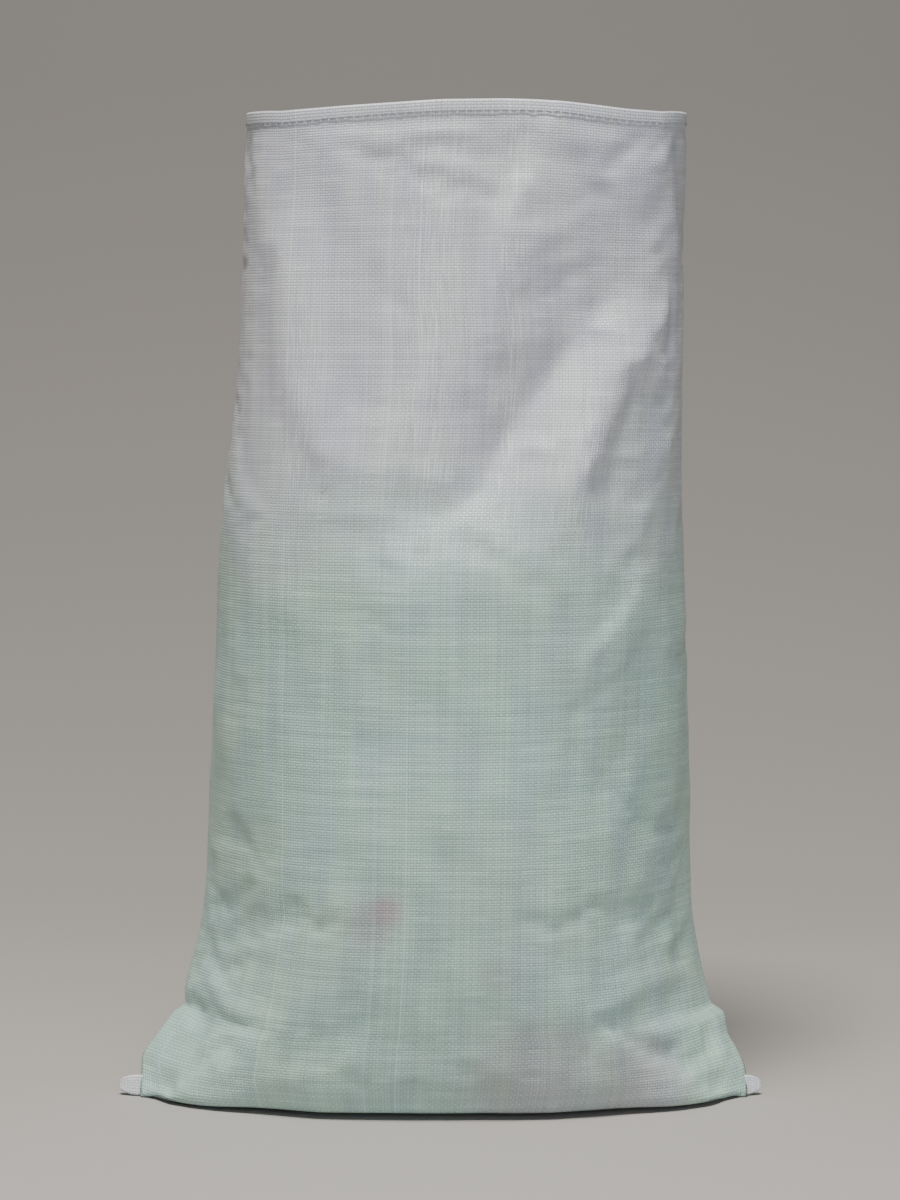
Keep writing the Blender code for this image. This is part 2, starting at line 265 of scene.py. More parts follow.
# %% Shape the sewn corners
BODY_LEFT, BODY_RIGHT = 0.251, 0.257
LOW_ROWS = BASE_ROWS + 8
FORWARD_PLACES = (0.0, 0.08, 0.12, 0.145, 0.17, 0.197, 0.223, 0.25, 0.27)
FORWARD_MOVES = (0.0, 0.002, 0.009, 0.016, 0.026, 0.038, 0.049, 0.048, 0.046)
FORWARD_FADE = 0.048
FOOT_TOP, FOOT_FILL = 0.060, 0.60
FOOT_FILL_END, FOOT_FILL_FADE = 0.19, 0.09


def corner_forward(x, z):
    """How far towards the camera a point near the foot is drawn."""
    return np.interp(np.abs(x), FORWARD_PLACES, FORWARD_MOVES) * np.exp(-z / FORWARD_FADE)


for row in range(LOW_ROWS):
    frame_row = slice_at(grid[row, 0, 2])
    for side, body_half in ((1, BODY_RIGHT), (-1, BODY_LEFT)):
        on_side = grid[row, :, 0] * side > 0
        now = (grid[row, :, 0] * side).max()
        wanted = min((frame_row[:, 0] * side).max(), body_half)
        grid[row, on_side, 0] *= wanted / now
grid[:, :, 1] -= corner_forward(grid[:, :, 0], grid[:, :, 2])
above_foot = int(np.argmin(np.abs(grid[:, 0, 2] - FOOT_TOP)))
undercut = grid[BASE_ROWS:above_foot, :, 1] - grid[above_foot, :, 1]
from_end = FOOT_FILL_END - np.abs(grid[above_foot, :, 0])
middle = np.clip(from_end / FOOT_FILL_FADE, 0, 1) * (grid[above_foot, :, 1] < 0)
grid[BASE_ROWS:above_foot, :, 1] -= FOOT_FILL * middle * np.maximum(undercut, 0)
print("foot filled out up to", round(float(grid[above_foot, 0, 2]), 3), "m")

# %% [markdown]
# The two walls meet in the seam under the foot, so the first row is one line of points that both share.
# The faces run the same way all round and look outwards. The flat cut gives each corner its place on the
# cloth in metres, and the weave is drawn from that, so it bends with every fold.

# %% Cloth mesh


@functools.lru_cache
def cloth_layout(rows, columns):
    """Number of each grid point, the grid places of the points, the faces, and their flat cut."""
    numbers = np.zeros((rows, columns), int)
    owner = []
    for row in range(rows):
        for column in range(columns):
            if row == 0 and column > columns // 2:
                numbers[row, column] = numbers[row, columns - column]
            else:
                numbers[row, column] = len(owner)
                owner.append((row, column))
    faces, cut = [], []
    for row in range(rows - 1):
        for column in range(columns):
            after = (column + 1) % columns
            corners = (numbers[row, column], numbers[row, after],
                       numbers[row + 1, after], numbers[row + 1, column])
            faces.append([int(corner) for corner in corners])
            for u, v in ((column, row), (column + 1, row), (column + 1, row + 1), (column, row + 1)):
                cut.append((u / columns * 2 * FLAT_WIDTH, v / (rows - 1) * FLAT_LENGTH))
    return numbers, np.array(owner), faces, np.array(cut)


def cloth_object(name, points):
    """The cloth as an object, from a grid of points."""
    owner, faces, flat_cut = cloth_layout(*points.shape[:2])[1:]
    return mesh_object(name, points[owner[:, 0], owner[:, 1]], faces, flat=flat_cut)


def tree_of(points):
    """A search tree of the cloth, to send rays at."""
    shape = cloth_object("guide", points)
    corners = [v.co for v in shape.data.vertices]
    tree = BVHTree.FromPolygons(corners, [p.vertices for p in shape.data.polygons])
    bpy.data.objects.remove(shape, do_unlink=True)
    return tree


def grid_normals(points):
    """Outward direction of the cloth at every point of the grid."""
    along = np.roll(points, -1, 1) - np.roll(points, 1, 1)
    up = np.gradient(points, axis=0)
    normal = np.cross(along, up)
    return normal / np.maximum(np.linalg.norm(normal, axis=2, keepdims=True), 1e-9)


print("cloth cells", (len(grid) - 1) * COLUMNS)

# %% [markdown]
# A simulation makes the small folds that nobody would draw. Cloth that was cut flat has more length at the
# sides of a bulging sack than the sides need, so the cells there are told to grow by a few per cent while
# the hem and the seam stay put. The spare cloth has to buckle somewhere, and it does it as cloth does: in
# soft dents above and in slanting folds near the ears. A light pressure stands for the fill. The large
# shape is the frame's own, so the slow part of what the cloth did is taken off again. The quick part, its
# folds, is kept. At the front it is held softly to one or two millimetres, because the folds that the
# photograph shows are pressed in there later, and at the back to nearly three times as much.

# %% Simulate the cloth
GROWTH = 0.050
MIDDLE_GROWTH, UPPER_GROWTH = 0.12, 0.4
LOW_HEIGHT = 0.30
HEM_FADE, HEM_ROWS = 0.06, 2
PRESSURE_TOP, PRESSURE_FADE = 0.50, 0.15
SETTLE_FRAMES = 30
SETTLE_GRAVITY = (0, 0, -2)
CLOTH_SETTINGS = {
    "quality": 6, "mass": 0.02,
    "tension_stiffness": 300, "compression_stiffness": 300, "shear_stiffness": 20, "bending_stiffness": 0.1,
    "tension_damping": 10, "compression_damping": 10,
    "shrink_min": -GROWTH, "shrink_max": 0,
    "use_pressure": True, "uniform_pressure_force": 6.0,
}
SLOW_PASSES = 16
FARTHEST_LOW, FARTHEST_HIGH, BACK_SHARE = 0.0020, 0.0012, 1.8
CALM_FROM, CALM_TO = 0.06, 0.13


def weights(made, owner, name, values):
    """A vertex group that gives each point of the cloth its own weight."""
    group = made.vertex_groups.new(name=name)
    for number, (row, column) in enumerate(owner):
        group.add([number], float(values[row, column]), "REPLACE")
    return group.name


def settle(points):
    """Grows and settles the cloth, and returns where its points come to rest."""
    numbers, owner = cloth_layout(*points.shape[:2])[:2]
    made = cloth_object("settling cloth", points)
    height = points[:, :, 2]
    side = np.cos(np.pi * np.arange(COLUMNS) / HALF)[None, :] ** 2
    low = np.exp(-height / LOW_HEIGHT)
    growth = MIDDLE_GROWTH + (1 - MIDDLE_GROWTH) * side * (UPPER_GROWTH + (1 - UPPER_GROWTH) * low)
    growth = growth * np.clip((sack_high.z - height) / HEM_FADE, 0, 1)
    held = np.zeros_like(height)
    held[0] = 1
    held[-1 - HEM_ROWS:] = 1
    pressed = np.clip((PRESSURE_TOP - height) / PRESSURE_FADE, 0, 1)
    cloth = made.modifiers.new("cloth", "CLOTH")
    for name, value in CLOTH_SETTINGS.items():
        setattr(cloth.settings, name, value)
    cloth.settings.vertex_group_mass = weights(made, owner, "held", held)
    cloth.settings.vertex_group_shrink = weights(made, owner, "full size", 1 - np.clip(growth, 0, 1))
    cloth.settings.vertex_group_pressure = weights(made, owner, "pressed", pressed)
    cloth.collision_settings.use_collision = False
    cloth.point_cache.frame_end = SETTLE_FRAMES
    scene = bpy.context.scene
    scene.gravity = SETTLE_GRAVITY
    for number in range(1, SETTLE_FRAMES + 1):
        scene.frame_set(number)
    result = made.evaluated_get(bpy.context.evaluated_depsgraph_get())
    rest = np.array([v.co for v in result.data.vertices])
    bpy.data.objects.remove(made, do_unlink=True)
    scene.frame_set(1)
    return rest[numbers]


def folds_of(move):
    """The quick part of a move, held below a farthest distance that is larger low down and at the back."""
    quick_part = move - smoothed(smoothed(move, SLOW_PASSES, 1), SLOW_PASSES, 0)
    farthest = np.interp(grid[:, :, 2:], (CALM_FROM, CALM_TO), (FARTHEST_LOW, FARTHEST_HIGH))
    farthest = farthest * (1 + BACK_SHARE * np.clip(grid[:, :, 1:2] / SIDE_DEPTH, 0, 1))
    size = np.linalg.norm(quick_part, axis=2, keepdims=True)
    return quick_part * np.tanh(size / farthest) * farthest / np.maximum(size, 1e-9)


settled = grid
moved = settle(grid) - grid
settled = grid + folds_of(moved)
print("folds of", round(float(np.linalg.norm(settled - grid, axis=2).mean() * 1000), 1), "mm on average")

# %% [markdown]
# Buckling makes the sack a little wider or narrower than the frame. The width at each height is brought
# back to the frame's, gradually, so that the outline stays the one that was measured and the folds stay
# as they fell. Just above the left corner the photograph shows a notch in the outline, where the corner's
# own lobe begins, and it is drawn in here.

# %% Bring the outline back to the frame
OUTLINE_STEP, OUTLINE_REACH = 0.02, 0.015
LOWEST_STEP = 0.01


def edges_by_height(points, heights):
    """Lowest and highest X of the cloth near each height, each averaged with its neighbours."""
    flat = points.reshape(-1, 3)
    found = []
    for height in heights:
        near = flat[np.abs(flat[:, 2] - height) < OUTLINE_REACH]
        found.append((near[:, 0].min(), near[:, 0].max()))
    wide = np.pad(np.array(found), ((1, 1), (0, 0)), "edge")
    return 0.25 * wide[:-2] + 0.5 * wide[1:-1] + 0.25 * wide[2:]


def fitted(points, target):
    """The same cloth with its width at each height matched to a target's."""
    heights = np.arange(LOWEST_STEP, sack_high.z, OUTLINE_STEP)
    now = edges_by_height(points, heights)
    wanted = edges_by_height(target, heights)
    z = points[:, :, 2]
    low_now, high_now = (np.interp(z, heights, now[:, i]) for i in (0, 1))
    low_wanted, high_wanted = (np.interp(z, heights, wanted[:, i]) for i in (0, 1))
    share = (points[:, :, 0] - low_now) / (high_now - low_now)
    moved = points.copy()
    moved[:, :, 0] = low_wanted + share * (high_wanted - low_wanted)
    moved[:, :, 2] = np.maximum(moved[:, :, 2], FLOOR_GAP)
    return moved


EAR_NOTCH, NOTCH_HEIGHT, NOTCH_SPREAD = 0.008, 0.068, 0.013
NOTCH_FROM, NOTCH_TO = 0.17, 0.23
fitted_points = fitted(settled, grid)
near_edge = np.clip((-fitted_points[:, :, 0] - NOTCH_FROM) / (NOTCH_TO - NOTCH_FROM), 0, 1)
in_notch = np.exp(-((fitted_points[:, :, 2] - NOTCH_HEIGHT) / NOTCH_SPREAD) ** 2)
fitted_points[:, :, 0] += EAR_NOTCH * near_edge * in_notch
print("cloth width", round(float(np.ptp(fitted_points[:, :, 0])), 3), "m")

# %% [markdown]
# A filled sack has a few large folds that are there because of how it is held and filled. Pulled open by
# its top corners, it is taut along a slanting ridge from each corner down to the fill. Between them the
# empty cloth hangs hollow, and where it meets the fill it turns outwards over the fill's shoulder in a
# crease. Short folds run in from the sewn corners. Each one is named here with the pixels that it runs
# through, how far it reaches to the left and to the right of a line that runs downwards, and how far the
# cloth is lifted, or sunk where the number is below zero. Lengths are in metres, and some are small because
# the frame has a part of that form already. Each is a tent: straight slopes on both sides, because taut
# cloth is flat between its creases. They are pressed in on a grid twice as fine.

# %% Named folds
FOLDS = {
    "hollow under the right corner": (((645, 292), (600, 300), (550, 322)), 0.140, 0.030, -0.0015),
    "crease over the fill": (
        ((622, 275), (597, 311), (563, 354), (533, 396), (512, 426), (495, 451), (482, 485),
         (461, 506), (416, 513)),
        0.062, 0.066, -0.0044),
    "crease over the fill, sharp": (
        ((605, 302), (563, 354), (533, 396), (512, 426), (495, 451), (482, 485), (461, 506), (416, 513)),
        0.019, 0.015, -0.0030),
    "crease over the fill, left": (((410, 516), (340, 517), (293, 508)), 0.042, 0.042, 0.0046),
    "brow over the crease, left": (
        ((474, 487), (410, 472), (350, 466), (320, 455), (300, 470)), 0.050, 0.050, 0.0060),
    "ridge from the right corner": (
        ((673, 290), (648, 349), (622, 404), (588, 464), (567, 511), (557, 540)), 0.055, 0.045, -0.0005),
    "ridge from the right corner, sharp": (
        ((665, 315), (648, 349), (622, 404), (588, 464), (567, 511), (557, 540)), 0.016, 0.014, 0.0026),
    "valley beside the ridge": (
        ((654, 353), (639, 396), (622, 443), (614, 485), (614, 528)), 0.029, 0.042, -0.0084),
    "shoulder of the fill": (
        ((557, 540), (537, 562), (503, 574), (478, 570), (452, 557), (427, 532), (416, 515)),
        0.047, 0.050, 0.0010),
    "shoulder of the fill, left": (((430, 566), (330, 566), (270, 560)), 0.040, 0.060, 0.0020),
    "brow of the hollow": (((500, 330), (440, 350), (380, 360)), 0.110, 0.110, 0.0030),
    "knuckle at the left": (((352, 300), (345, 400), (335, 466)), 0.020, 0.030, -0.0015),
    "ridge from the left corner": (
        ((257, 192), (272, 230), (287, 268), (288, 330), (290, 370), (303, 410), (318, 451)),
        0.024, 0.040, 0.0042),
    "left side of the column": (((402, 105), (403, 230), (402, 350)), 0.040, 0.042, -0.0038),
    "right side of the column": (((470, 105), (468, 200), (462, 300), (455, 380)), 0.040, 0.030, 0.0005),
    "narrow ridge, middle": (
        ((546, 135), (533, 175), (516, 200), (508, 226), (495, 290), (491, 350), (478, 388)),
        0.017, 0.055, 0.0060),
    "edge of the right side": (((655, 130), (668, 200), (676, 285)), 0.037, 0.020, 0.0050),
    "fold at the right side": (((665, 400), (655, 451), (653, 494), (650, 523)), 0.022, 0.021, -0.0030),
    "hook, upper": (((680, 400), (668, 440), (652, 490), (642, 530), (643, 575)), 0.012, 0.032, 0.0020),
    "hook, lower": (((643, 575), (628, 610), (605, 640), (585, 668)), 0.012, 0.034, 0.0036),
    "valley under the hook": (((650, 600), (622, 655), (612, 700)), 0.018, 0.028, 0.0010),
    "long swell at the right": (((655, 690), (610, 770), (570, 850)), 0.050, 0.027, -0.0025),
    "dip at the right side": (((683, 760), (650, 830), (640, 880)), 0.020, 0.020, 0.0010),
    "right foot, streak": (((690, 900), (676, 931), (662, 944), (613, 958)), 0.022, 0.011, 0.0026),
    "right foot, under the streak": (
        ((705, 962), (690, 972), (668, 977), (640, 986), (608, 1008)), 0.022, 0.012, 0.0030),
    "right foot, arch": (
        ((721, 1008), (694, 1000), (673, 1005), (657, 1014), (623, 1017), (604, 1030), (590, 1050)),
        0.012, 0.013, -0.0012),
    "right foot, slant": (((716, 1010), (694, 1026), (676, 1042), (656, 1068)), 0.010, 0.012, -0.0014),
    "right foot, bright": (((722, 1052), (707, 1067), (680, 1091)), 0.012, 0.010, 0.0022),
    "right foot, end": (((727, 1014), (736, 1036), (736, 1056)), 0.008, 0.008, -0.0030),
    "left foot, streak": (
        ((193, 954), (207, 975), (220, 996), (230, 1012), (262, 1023)), 0.012, 0.016, 0.0026),
    "left foot, spur": (((228, 1012), (262, 1020), (300, 1034)), 0.012, 0.012, 0.0014),
    "left foot, middle": (((200, 1036), (211, 1055), (223, 1070)), 0.009, 0.016, 0.0022),
    "left foot, last": (((176, 1074), (188, 1096)), 0.008, 0.013, 0.0020),
    "left foot, lobe": (((182, 1000), (176, 1016), (168, 1026)), 0.009, 0.009, -0.0026),
}
END_FADE, END_LEAST = 0.2, 0.4
FACING_EDGE = 0.3


def seen_points(pixels, tree):
    """The places on the front of the cloth that the camera sees at these pixels."""
    hits = [tree.ray_cast(camera.location, ray_through(pixel))[0] for pixel in pixels]
    return [np.array(hit) for hit in hits if hit is not None]


def nearest_on_line(points, line):
    """For every point: distance to a line, how far along it, and whether it lies to its right."""
    best = np.full(points.shape[:2], np.inf)
    along = np.zeros(points.shape[:2])
    right = np.zeros(points.shape[:2], bool)
    lengths = [np.linalg.norm(b - a) for a, b in zip(line, line[1:])]
    run = 0.0
    for a, b, length in zip(line, line[1:], lengths):
        share = np.clip(((points - a) @ (b - a)) / length ** 2, 0, 1)
        offset = points - a - share[..., None] * (b - a)
        gap = np.linalg.norm(offset, axis=2)
        nearer = gap < best
        best = np.where(nearer, gap, best)
        along = np.where(nearer, (run + share * length) / sum(lengths), along)
        right = np.where(nearer, (b - a)[0] * offset[:, :, 2] - (b - a)[2] * offset[:, :, 0] > 0, right)
        run += length
    return best, along, right


def press_folds(points, folds):
    """Lifts or sinks the front of the cloth along named lines, with straight slopes to both sides."""
    tree = tree_of(points)
    outward = grid_normals(points)
    depth = outward[:, :, 1]
    facing = np.clip((FACING_EDGE - depth) / (2 * FACING_EDGE), 0, 1)
    lift = np.zeros(points.shape[:2])
    for pixels, reach_left, reach_right, height in folds.values():
        gap, along, right = nearest_on_line(points, seen_points(pixels, tree))
        fade = np.clip(np.minimum(along, 1 - along) / END_FADE, END_LEAST, 1)
        lift += height * fade * np.clip(1 - gap / np.where(right, reach_right, reach_left), 0, 1)
    return points + outward * (lift * facing)[..., None]


def twice_as_fine(points):
    """The same cloth on a grid with cells half as large, on smooth curves through the old points."""
    before, after, far = np.roll(points, 1, 1), np.roll(points, -1, 1), np.roll(points, -2, 1)
    between = (9 * (points + after) - before - far) / 16
    wide = np.stack([points, between], 2).reshape(len(points), -1, 3)
    padded = np.concatenate([2 * wide[:1] - wide[1:2], wide, 2 * wide[-1:] - wide[-2:-1]])
    between = (9 * (padded[1:-2] + padded[2:-1]) - padded[:-3] - padded[3:]) / 16
    fine = np.empty((2 * len(wide) - 1,) + wide.shape[1:])
    fine[0::2] = wide
    fine[1::2] = between
    return fine


cloth_points = press_folds(twice_as_fine(fitted_points), FOLDS)
cloth_points[:, :, 2] = np.maximum(cloth_points[:, :, 2], FLOOR_GAP)
FINE_COLUMNS = cloth_points.shape[1]
print("folds pressed in:", len(FOLDS), "on a grid of", cloth_points.shape[:2])

# %% [markdown]
# The scraps inside press small round lumps into the cloth, a few centimetres wide and less than a
# millimetre high. They are too many to name, and the simulated fill is one even pressure, so they are added
# as slow noise along the cloth's own outward direction, only where the fill lies.

# %% Lumps of the fill
WAVES, WAVE_HEIGHT = 12, 5


def slow_noise(points, size, seed):
    """Smooth random values between -1 and 1, made of a few waves of about one size."""
    random = np.random.default_rng(seed)
    total = np.zeros(points.shape[:2])
    for _ in range(WAVES):
        direction = random.normal(size=3)
        direction /= np.linalg.norm(direction)
        wave = 2 * math.pi / (size * random.uniform(0.7, 1.5))
        total += np.sin(points @ direction * wave + random.uniform(0, 2 * math.pi))
    return np.clip(total / WAVE_HEIGHT, -1, 1)


LUMP_HEIGHT, LUMP_SIZE = 0.0009, 0.050
LUMP_TOP, LUMP_FADE, LUMP_FOOT = fill_high.z - 0.01, 0.08, 0.03
above_floor = cloth_points[:, :, 2]
filled = np.clip((LUMP_TOP - above_floor) / LUMP_FADE, 0, 1) * np.clip(above_floor / LUMP_FOOT, 0, 1)
lumps = slow_noise(cloth_points, LUMP_SIZE, 31) * LUMP_HEIGHT * filled
cloth_points = cloth_points + grid_normals(cloth_points) * lumps[..., None]
print("lumps up to", round(float(np.abs(lumps).max() * 1000), 1), "mm")

# %% [markdown]
# The fill is pale green with a few pink bits, and thin tape cloth lets it tint the white. That tint is
# painted, as two soft values at each point of the cloth, because light that really passed through would
# cost much and show the same. The green fades in over the last centimetres below and above the fill's edge,
# and slow noise makes that edge uneven. The pink spots lie where the photograph shows them.

# %% Where the fill shows through
PINK_SPOTS = {
    "clear patch": ((385, 912), 0.014, 0.75),
    "faint patch": ((372, 925), 0.022, 0.35),
    "foot, middle": ((540, 1090), 0.060, 0.45),
    "foot, right": ((640, 1092), 0.050, 0.50),
    "right edge": ((690, 700), 0.022, 0.15),
    "low centre": ((500, 975), 0.018, 0.20),
}
EDGE_LEVEL = fill_high.z - 0.012
EDGE_SOFT, EDGE_WAVE = 0.030, 0.030
GREEN_WAVE, PINK_WAVE = 0.04, 0.04
level = cloth_points[:, :, 2] + EDGE_WAVE * slow_noise(cloth_points, 0.16, 3)
green = 1 / (1 + np.exp((level - EDGE_LEVEL) / EDGE_SOFT))
green *= 1 - GREEN_WAVE + GREEN_WAVE * slow_noise(cloth_points, 0.10, 5)
pink = PINK_WAVE * np.clip(slow_noise(cloth_points, 0.09, 8), 0, 1) * green
front_tree = tree_of(cloth_points)
for pixel, reach, strength in PINK_SPOTS.values():
    for place in seen_points([pixel], front_tree):
        gap = np.linalg.norm(cloth_points - place, axis=2)
        pink = np.maximum(pink, strength * np.exp(-(gap / reach) ** 4))
print("green from", round(float(green.min()), 2), "to", round(float(green.max()), 2))

# %% [markdown]
# The cloth gets its thickness last. Solidify adds the wall on the inside, so that the outside stays where
# it is, and it is turned into plain mesh.

# %% Finish the cloth
CLOTH_THICKNESS = 0.0007


def plain_mesh(made, name):
    """Turns an object with modifiers into a new object with the finished mesh."""
    graph = bpy.context.evaluated_depsgraph_get()
    mesh = bpy.data.meshes.new_from_object(made.evaluated_get(graph))
    mesh.name = name
    bpy.data.objects.remove(made, do_unlink=True)
    finished = bpy.data.objects.new(name, mesh)
    bpy.context.scene.collection.objects.link(finished)
    return finished


def float_attribute(mesh, name, values):
    """A value for each point of the cloth, kept on the mesh under a name that a material can read."""
    owner = cloth_layout(*values.shape)[1]
    data = mesh.attributes.new(name, "FLOAT", "POINT").data
    data.foreach_set("value", values[owner[:, 0], owner[:, 1]].astype(np.float32))


rough_cloth = cloth_object("rough cloth", cloth_points)
float_attribute(rough_cloth.data, "green", green)
float_attribute(rough_cloth.data, "pink", pink)
rough_cloth.data.shade_smooth()
thicker = rough_cloth.modifiers.new("thicker", "SOLIDIFY")
thicker.thickness = CLOTH_THICKNESS
thicker.offset = -1
sack = plain_mesh(rough_cloth, "sack_cloth")
print("sack cloth triangles", sum(len(p.vertices) - 2 for p in sack.data.polygons))

# %% [markdown]
# Woven polypropylene is slit film: flat shiny tapes about 2.4 mm wide, crossed one over, one under. Each
# crossing is a tiny pillow, and each tape catches the light a little differently, which gives the faint
# stripes both ways. The pillows are bump, drawn from the flat cut, and the stripes are colour. One table
# holds the sizes of all the noise, and the finish is built in steps, from the bare tapes to the tint.

# %% Woven tape cloth
TAPE = 0.0024
# Width and height on the cloth in metres, and contrast.
STREAKS = {
    "upright tapes": (TAPE, 0.30, 0.16),
    "level tapes": (0.30, TAPE, 0.16),
    "uneven crossings": (0.006, 0.006, 0.25),
    "bands": (0.07, 0.010, 0.20),
    "painted_sheen": (0.025, 0.12, 0.10),
    "crinkles": (0.038, 0.009, 0.30),
    "green patches": (0.13, 0.10, 0.12),
    "where lines show": (0.16, 0.16, 0.16),
    "glints": (0.0012, 0.032, 0.25),
}
LINE_PITCH, LINE_GAP, LINE_WIDTH, LINE_RUN = 0.0136, 0.0009, 0.0005, 0.022
LINE_SELDOM, LINE_OFTEN = 0.68, 0.54
# The glints are painted highlights.
# The pixel that the middle is seen at, and in metres half the width and where it starts to fade upwards.
GLINT_PLACES = {
    "column": ((432, 250), 0.045, 0.95),
    "strip": ((512, 230), 0.022, 0.95),
    "left slope": ((300, 380), 0.030, 0.75),
    "bright slope": ((590, 400), 0.055, 0.66),
}
GLINT_FADE, GLINT_LOW, GLINT_HIGH = 0.08, 0.50, 0.60
GLINT_DARK, GLINT_BRIGHT = 0.46, 0.85
# Three packing creases, drawn only as painted highlight lines.
UPRIGHT_LINES = {
    "left": ((283, 700), 0.0010),
    "middle left": ((374, 700), 0.0009),
    "packing crease": ((410, 700), 0.0012),
}
LEVEL_SHARE, UPRIGHT_SHARE, GLINT_SHARE = 0.65, 0.35, 0.65
GAP_EDGE, GAP_DEPTH, EMPTY_CRINKLE = 0.7, 0.45, 0.15
# Tape greys. The level ones are lighter, which is a painted highlight.
WARP_DARK, WARP_LIGHT, WEFT_DARK, WEFT_LIGHT = "#BCC1C3", "#D3D6D8", "#CFD2D4", "#E6E7E9"
# The highlight colour is painted highlight, the lilac one a painted reflection, the gap colour painted shade.
BAND_SHADE, WHITE, PAINTED_LILAC_SHEEN, PAINTED_HIGHLIGHT, GAP_PAINTED_SHADE = "#F5F6F6", "#FFFFFF", "#F8F6FF", "#F6F8F8", "#B4B9BB"
MINT_THROUGH, LEAF_THROUGH, PINK_THROUGH = "#DBFFEC", "#DDFFE8", "#DDC0C6"
MATH, RANGE, MIX = "ShaderNodeMath", "ShaderNodeMapRange", "ShaderNodeMix"
COLOUR, TINT = {"data_type": "RGBA"}, {"data_type": "RGBA", "blend_type": "MULTIPLY"}


def tape_wave(tree, coordinate):
    """A rounded rib for each tape: 0 at its edges, 1 over its middle."""
    turns = add_node(tree, MATH, {0: coordinate, 1: math.pi / TAPE}, operation="MULTIPLY")
    sine = add_node(tree, MATH, {0: turns}, operation="SINE")
    rib = add_node(tree, MATH, {0: sine}, operation="ABSOLUTE")
    return add_node(tree, MATH, {0: rib}, operation="SQRT")


def streaks(tree, cut, name):
    """Noise stretched along the cloth, from 0 to 1."""
    width, height, contrast = STREAKS[name]
    placed = add_node(tree, "ShaderNodeMapping", {"Vector": cut, "Scale": (1 / width, 1 / height, 1)})
    noise = add_node(tree, "ShaderNodeTexNoise", {"Vector": placed, "Scale": 1.0, "Detail": 1.0})
    limits = {"From Min": 0.5 - contrast, "From Max": 0.5 + contrast}
    return add_node(tree, RANGE, {"Value": noise.outputs["Fac"], **limits})


def near_line(tree, coordinate, middle, half):
    """1 on a line across the cloth, fading to 0 at its half width."""
    offset = add_node(tree, MATH, {0: coordinate, 1: middle}, operation="SUBTRACT")
    gap = add_node(tree, MATH, {0: offset}, operation="ABSOLUTE")
    return add_node(tree, RANGE, {"Value": gap, "From Max": half, "To Min": 1.0, "To Max": 0.0})


def around_at(pixel):
    """How far round the flat cloth the place lies that the camera sees at a pixel."""
    place = seen_points([pixel], front_tree)[0]
    gap = np.linalg.norm(cloth_points - place, axis=2)
    column = int(np.unravel_index(gap.argmin(), gap.shape)[1])
    return column / FINE_COLUMNS * 2 * FLAT_WIDTH


# %% [markdown]
# At each crossing only one tape lies on top, so a checker pattern picks whose rib is drawn. The colour of
# the bare cloth starts from two greys for the upright tapes and two lighter ones for the level ones, chosen
# along each tape by noise that is stretched far more along the tape than across it. That the level tapes
# are lighter is a painted highlight: they catch the light more than the upright ones.

# %% Relief and colour of the bare tapes


def tape_relief(tree, across, up, checks):
    """One rounded pillow for each crossing, and the height of the cloth with the tapes that cross there."""
    warp = tape_wave(tree, across)
    weft = tape_wave(tree, up)
    ribs = add_node(tree, MIX, {0: checks, 2: warp, 3: weft}, data_type="FLOAT")
    pillow = add_node(tree, MATH, {0: warp, 1: weft}, operation="MULTIPLY")
    return pillow, add_node(tree, MATH, {0: ribs, 1: pillow}, operation="MULTIPLY")


def tape_colour(tree, cut, checks):
    """Bare cloth: tapes lighter or darker, in faint bands, with a painted lilac reflection in places."""
    warp = {0: streaks(tree, cut, "upright tapes"), 6: linear(WARP_DARK), 7: linear(WARP_LIGHT)}
    warp = add_node(tree, MIX, warp, **COLOUR).outputs[2]
    weft = {0: streaks(tree, cut, "level tapes"), 6: linear(WEFT_DARK), 7: linear(WEFT_LIGHT)}
    weft = add_node(tree, MIX, weft, **COLOUR).outputs[2]
    uneven = streaks(tree, cut, "uneven crossings")
    share = add_node(tree, MIX, {0: uneven, 2: checks, 3: 0.5}, data_type="FLOAT")
    tapes = add_node(tree, MIX, {0: share, 6: warp, 7: weft}, **COLOUR).outputs[2]
    bands = {0: streaks(tree, cut, "bands"), 6: linear(BAND_SHADE), 7: linear(WHITE)}
    bands = add_node(tree, MIX, bands, **COLOUR).outputs[2]
    banded = add_node(tree, MIX, {0: 1.0, 6: tapes, 7: bands}, **TINT).outputs[2]
    # Painted reflection: a faint lilac tint mixed into the tape colour in soft upright patches.
    painted_sheen = streaks(tree, cut, "painted_sheen")
    return add_node(tree, MIX, {0: painted_sheen, 6: banded, 7: linear(PAINTED_LILAC_SHEEN)}, **TINT).outputs[2]


# %% [markdown]
# A few painted highlights lie on the cloth: level double lines that start and stop, on tape edges that catch
# the light, three upright lines along creases left by how the empty sack was packed, and glints where the
# empty cloth is pulled smooth.

# %% Lines and glints on the tapes


def broken_lines(tree, cut, across, up):
    """Level double lines that start and stop at random: painted highlights on tape edges."""
    row = add_node(tree, MATH, {0: up, 1: LINE_PITCH}, operation="DIVIDE")
    line = add_node(tree, MATH, {0: row}, operation="ROUND")
    level = add_node(tree, MATH, {0: line, 1: LINE_PITCH}, operation="MULTIPLY")
    offset = add_node(tree, MATH, {0: up, 1: level}, operation="SUBTRACT")
    either_side = add_node(tree, MATH, {0: offset}, operation="ABSOLUTE")
    pair = near_line(tree, either_side, LINE_GAP, LINE_WIDTH)
    run = add_node(tree, MATH, {0: across, 1: LINE_RUN}, operation="DIVIDE")
    along = add_node(tree, "ShaderNodeCombineXYZ", {0: run, 1: line})
    noise = add_node(tree, "ShaderNodeTexNoise", {"Vector": along, "Scale": 1.0, "Detail": 0.0})
    often = streaks(tree, cut, "where lines show")
    start = add_node(tree, RANGE, {"Value": often, "To Min": LINE_SELDOM, "To Max": LINE_OFTEN})
    drawn = add_node(tree, MATH, {0: noise.outputs["Fac"], 1: start}, operation="GREATER_THAN")
    return add_node(tree, MATH, {0: pair, 1: drawn}, operation="MULTIPLY")


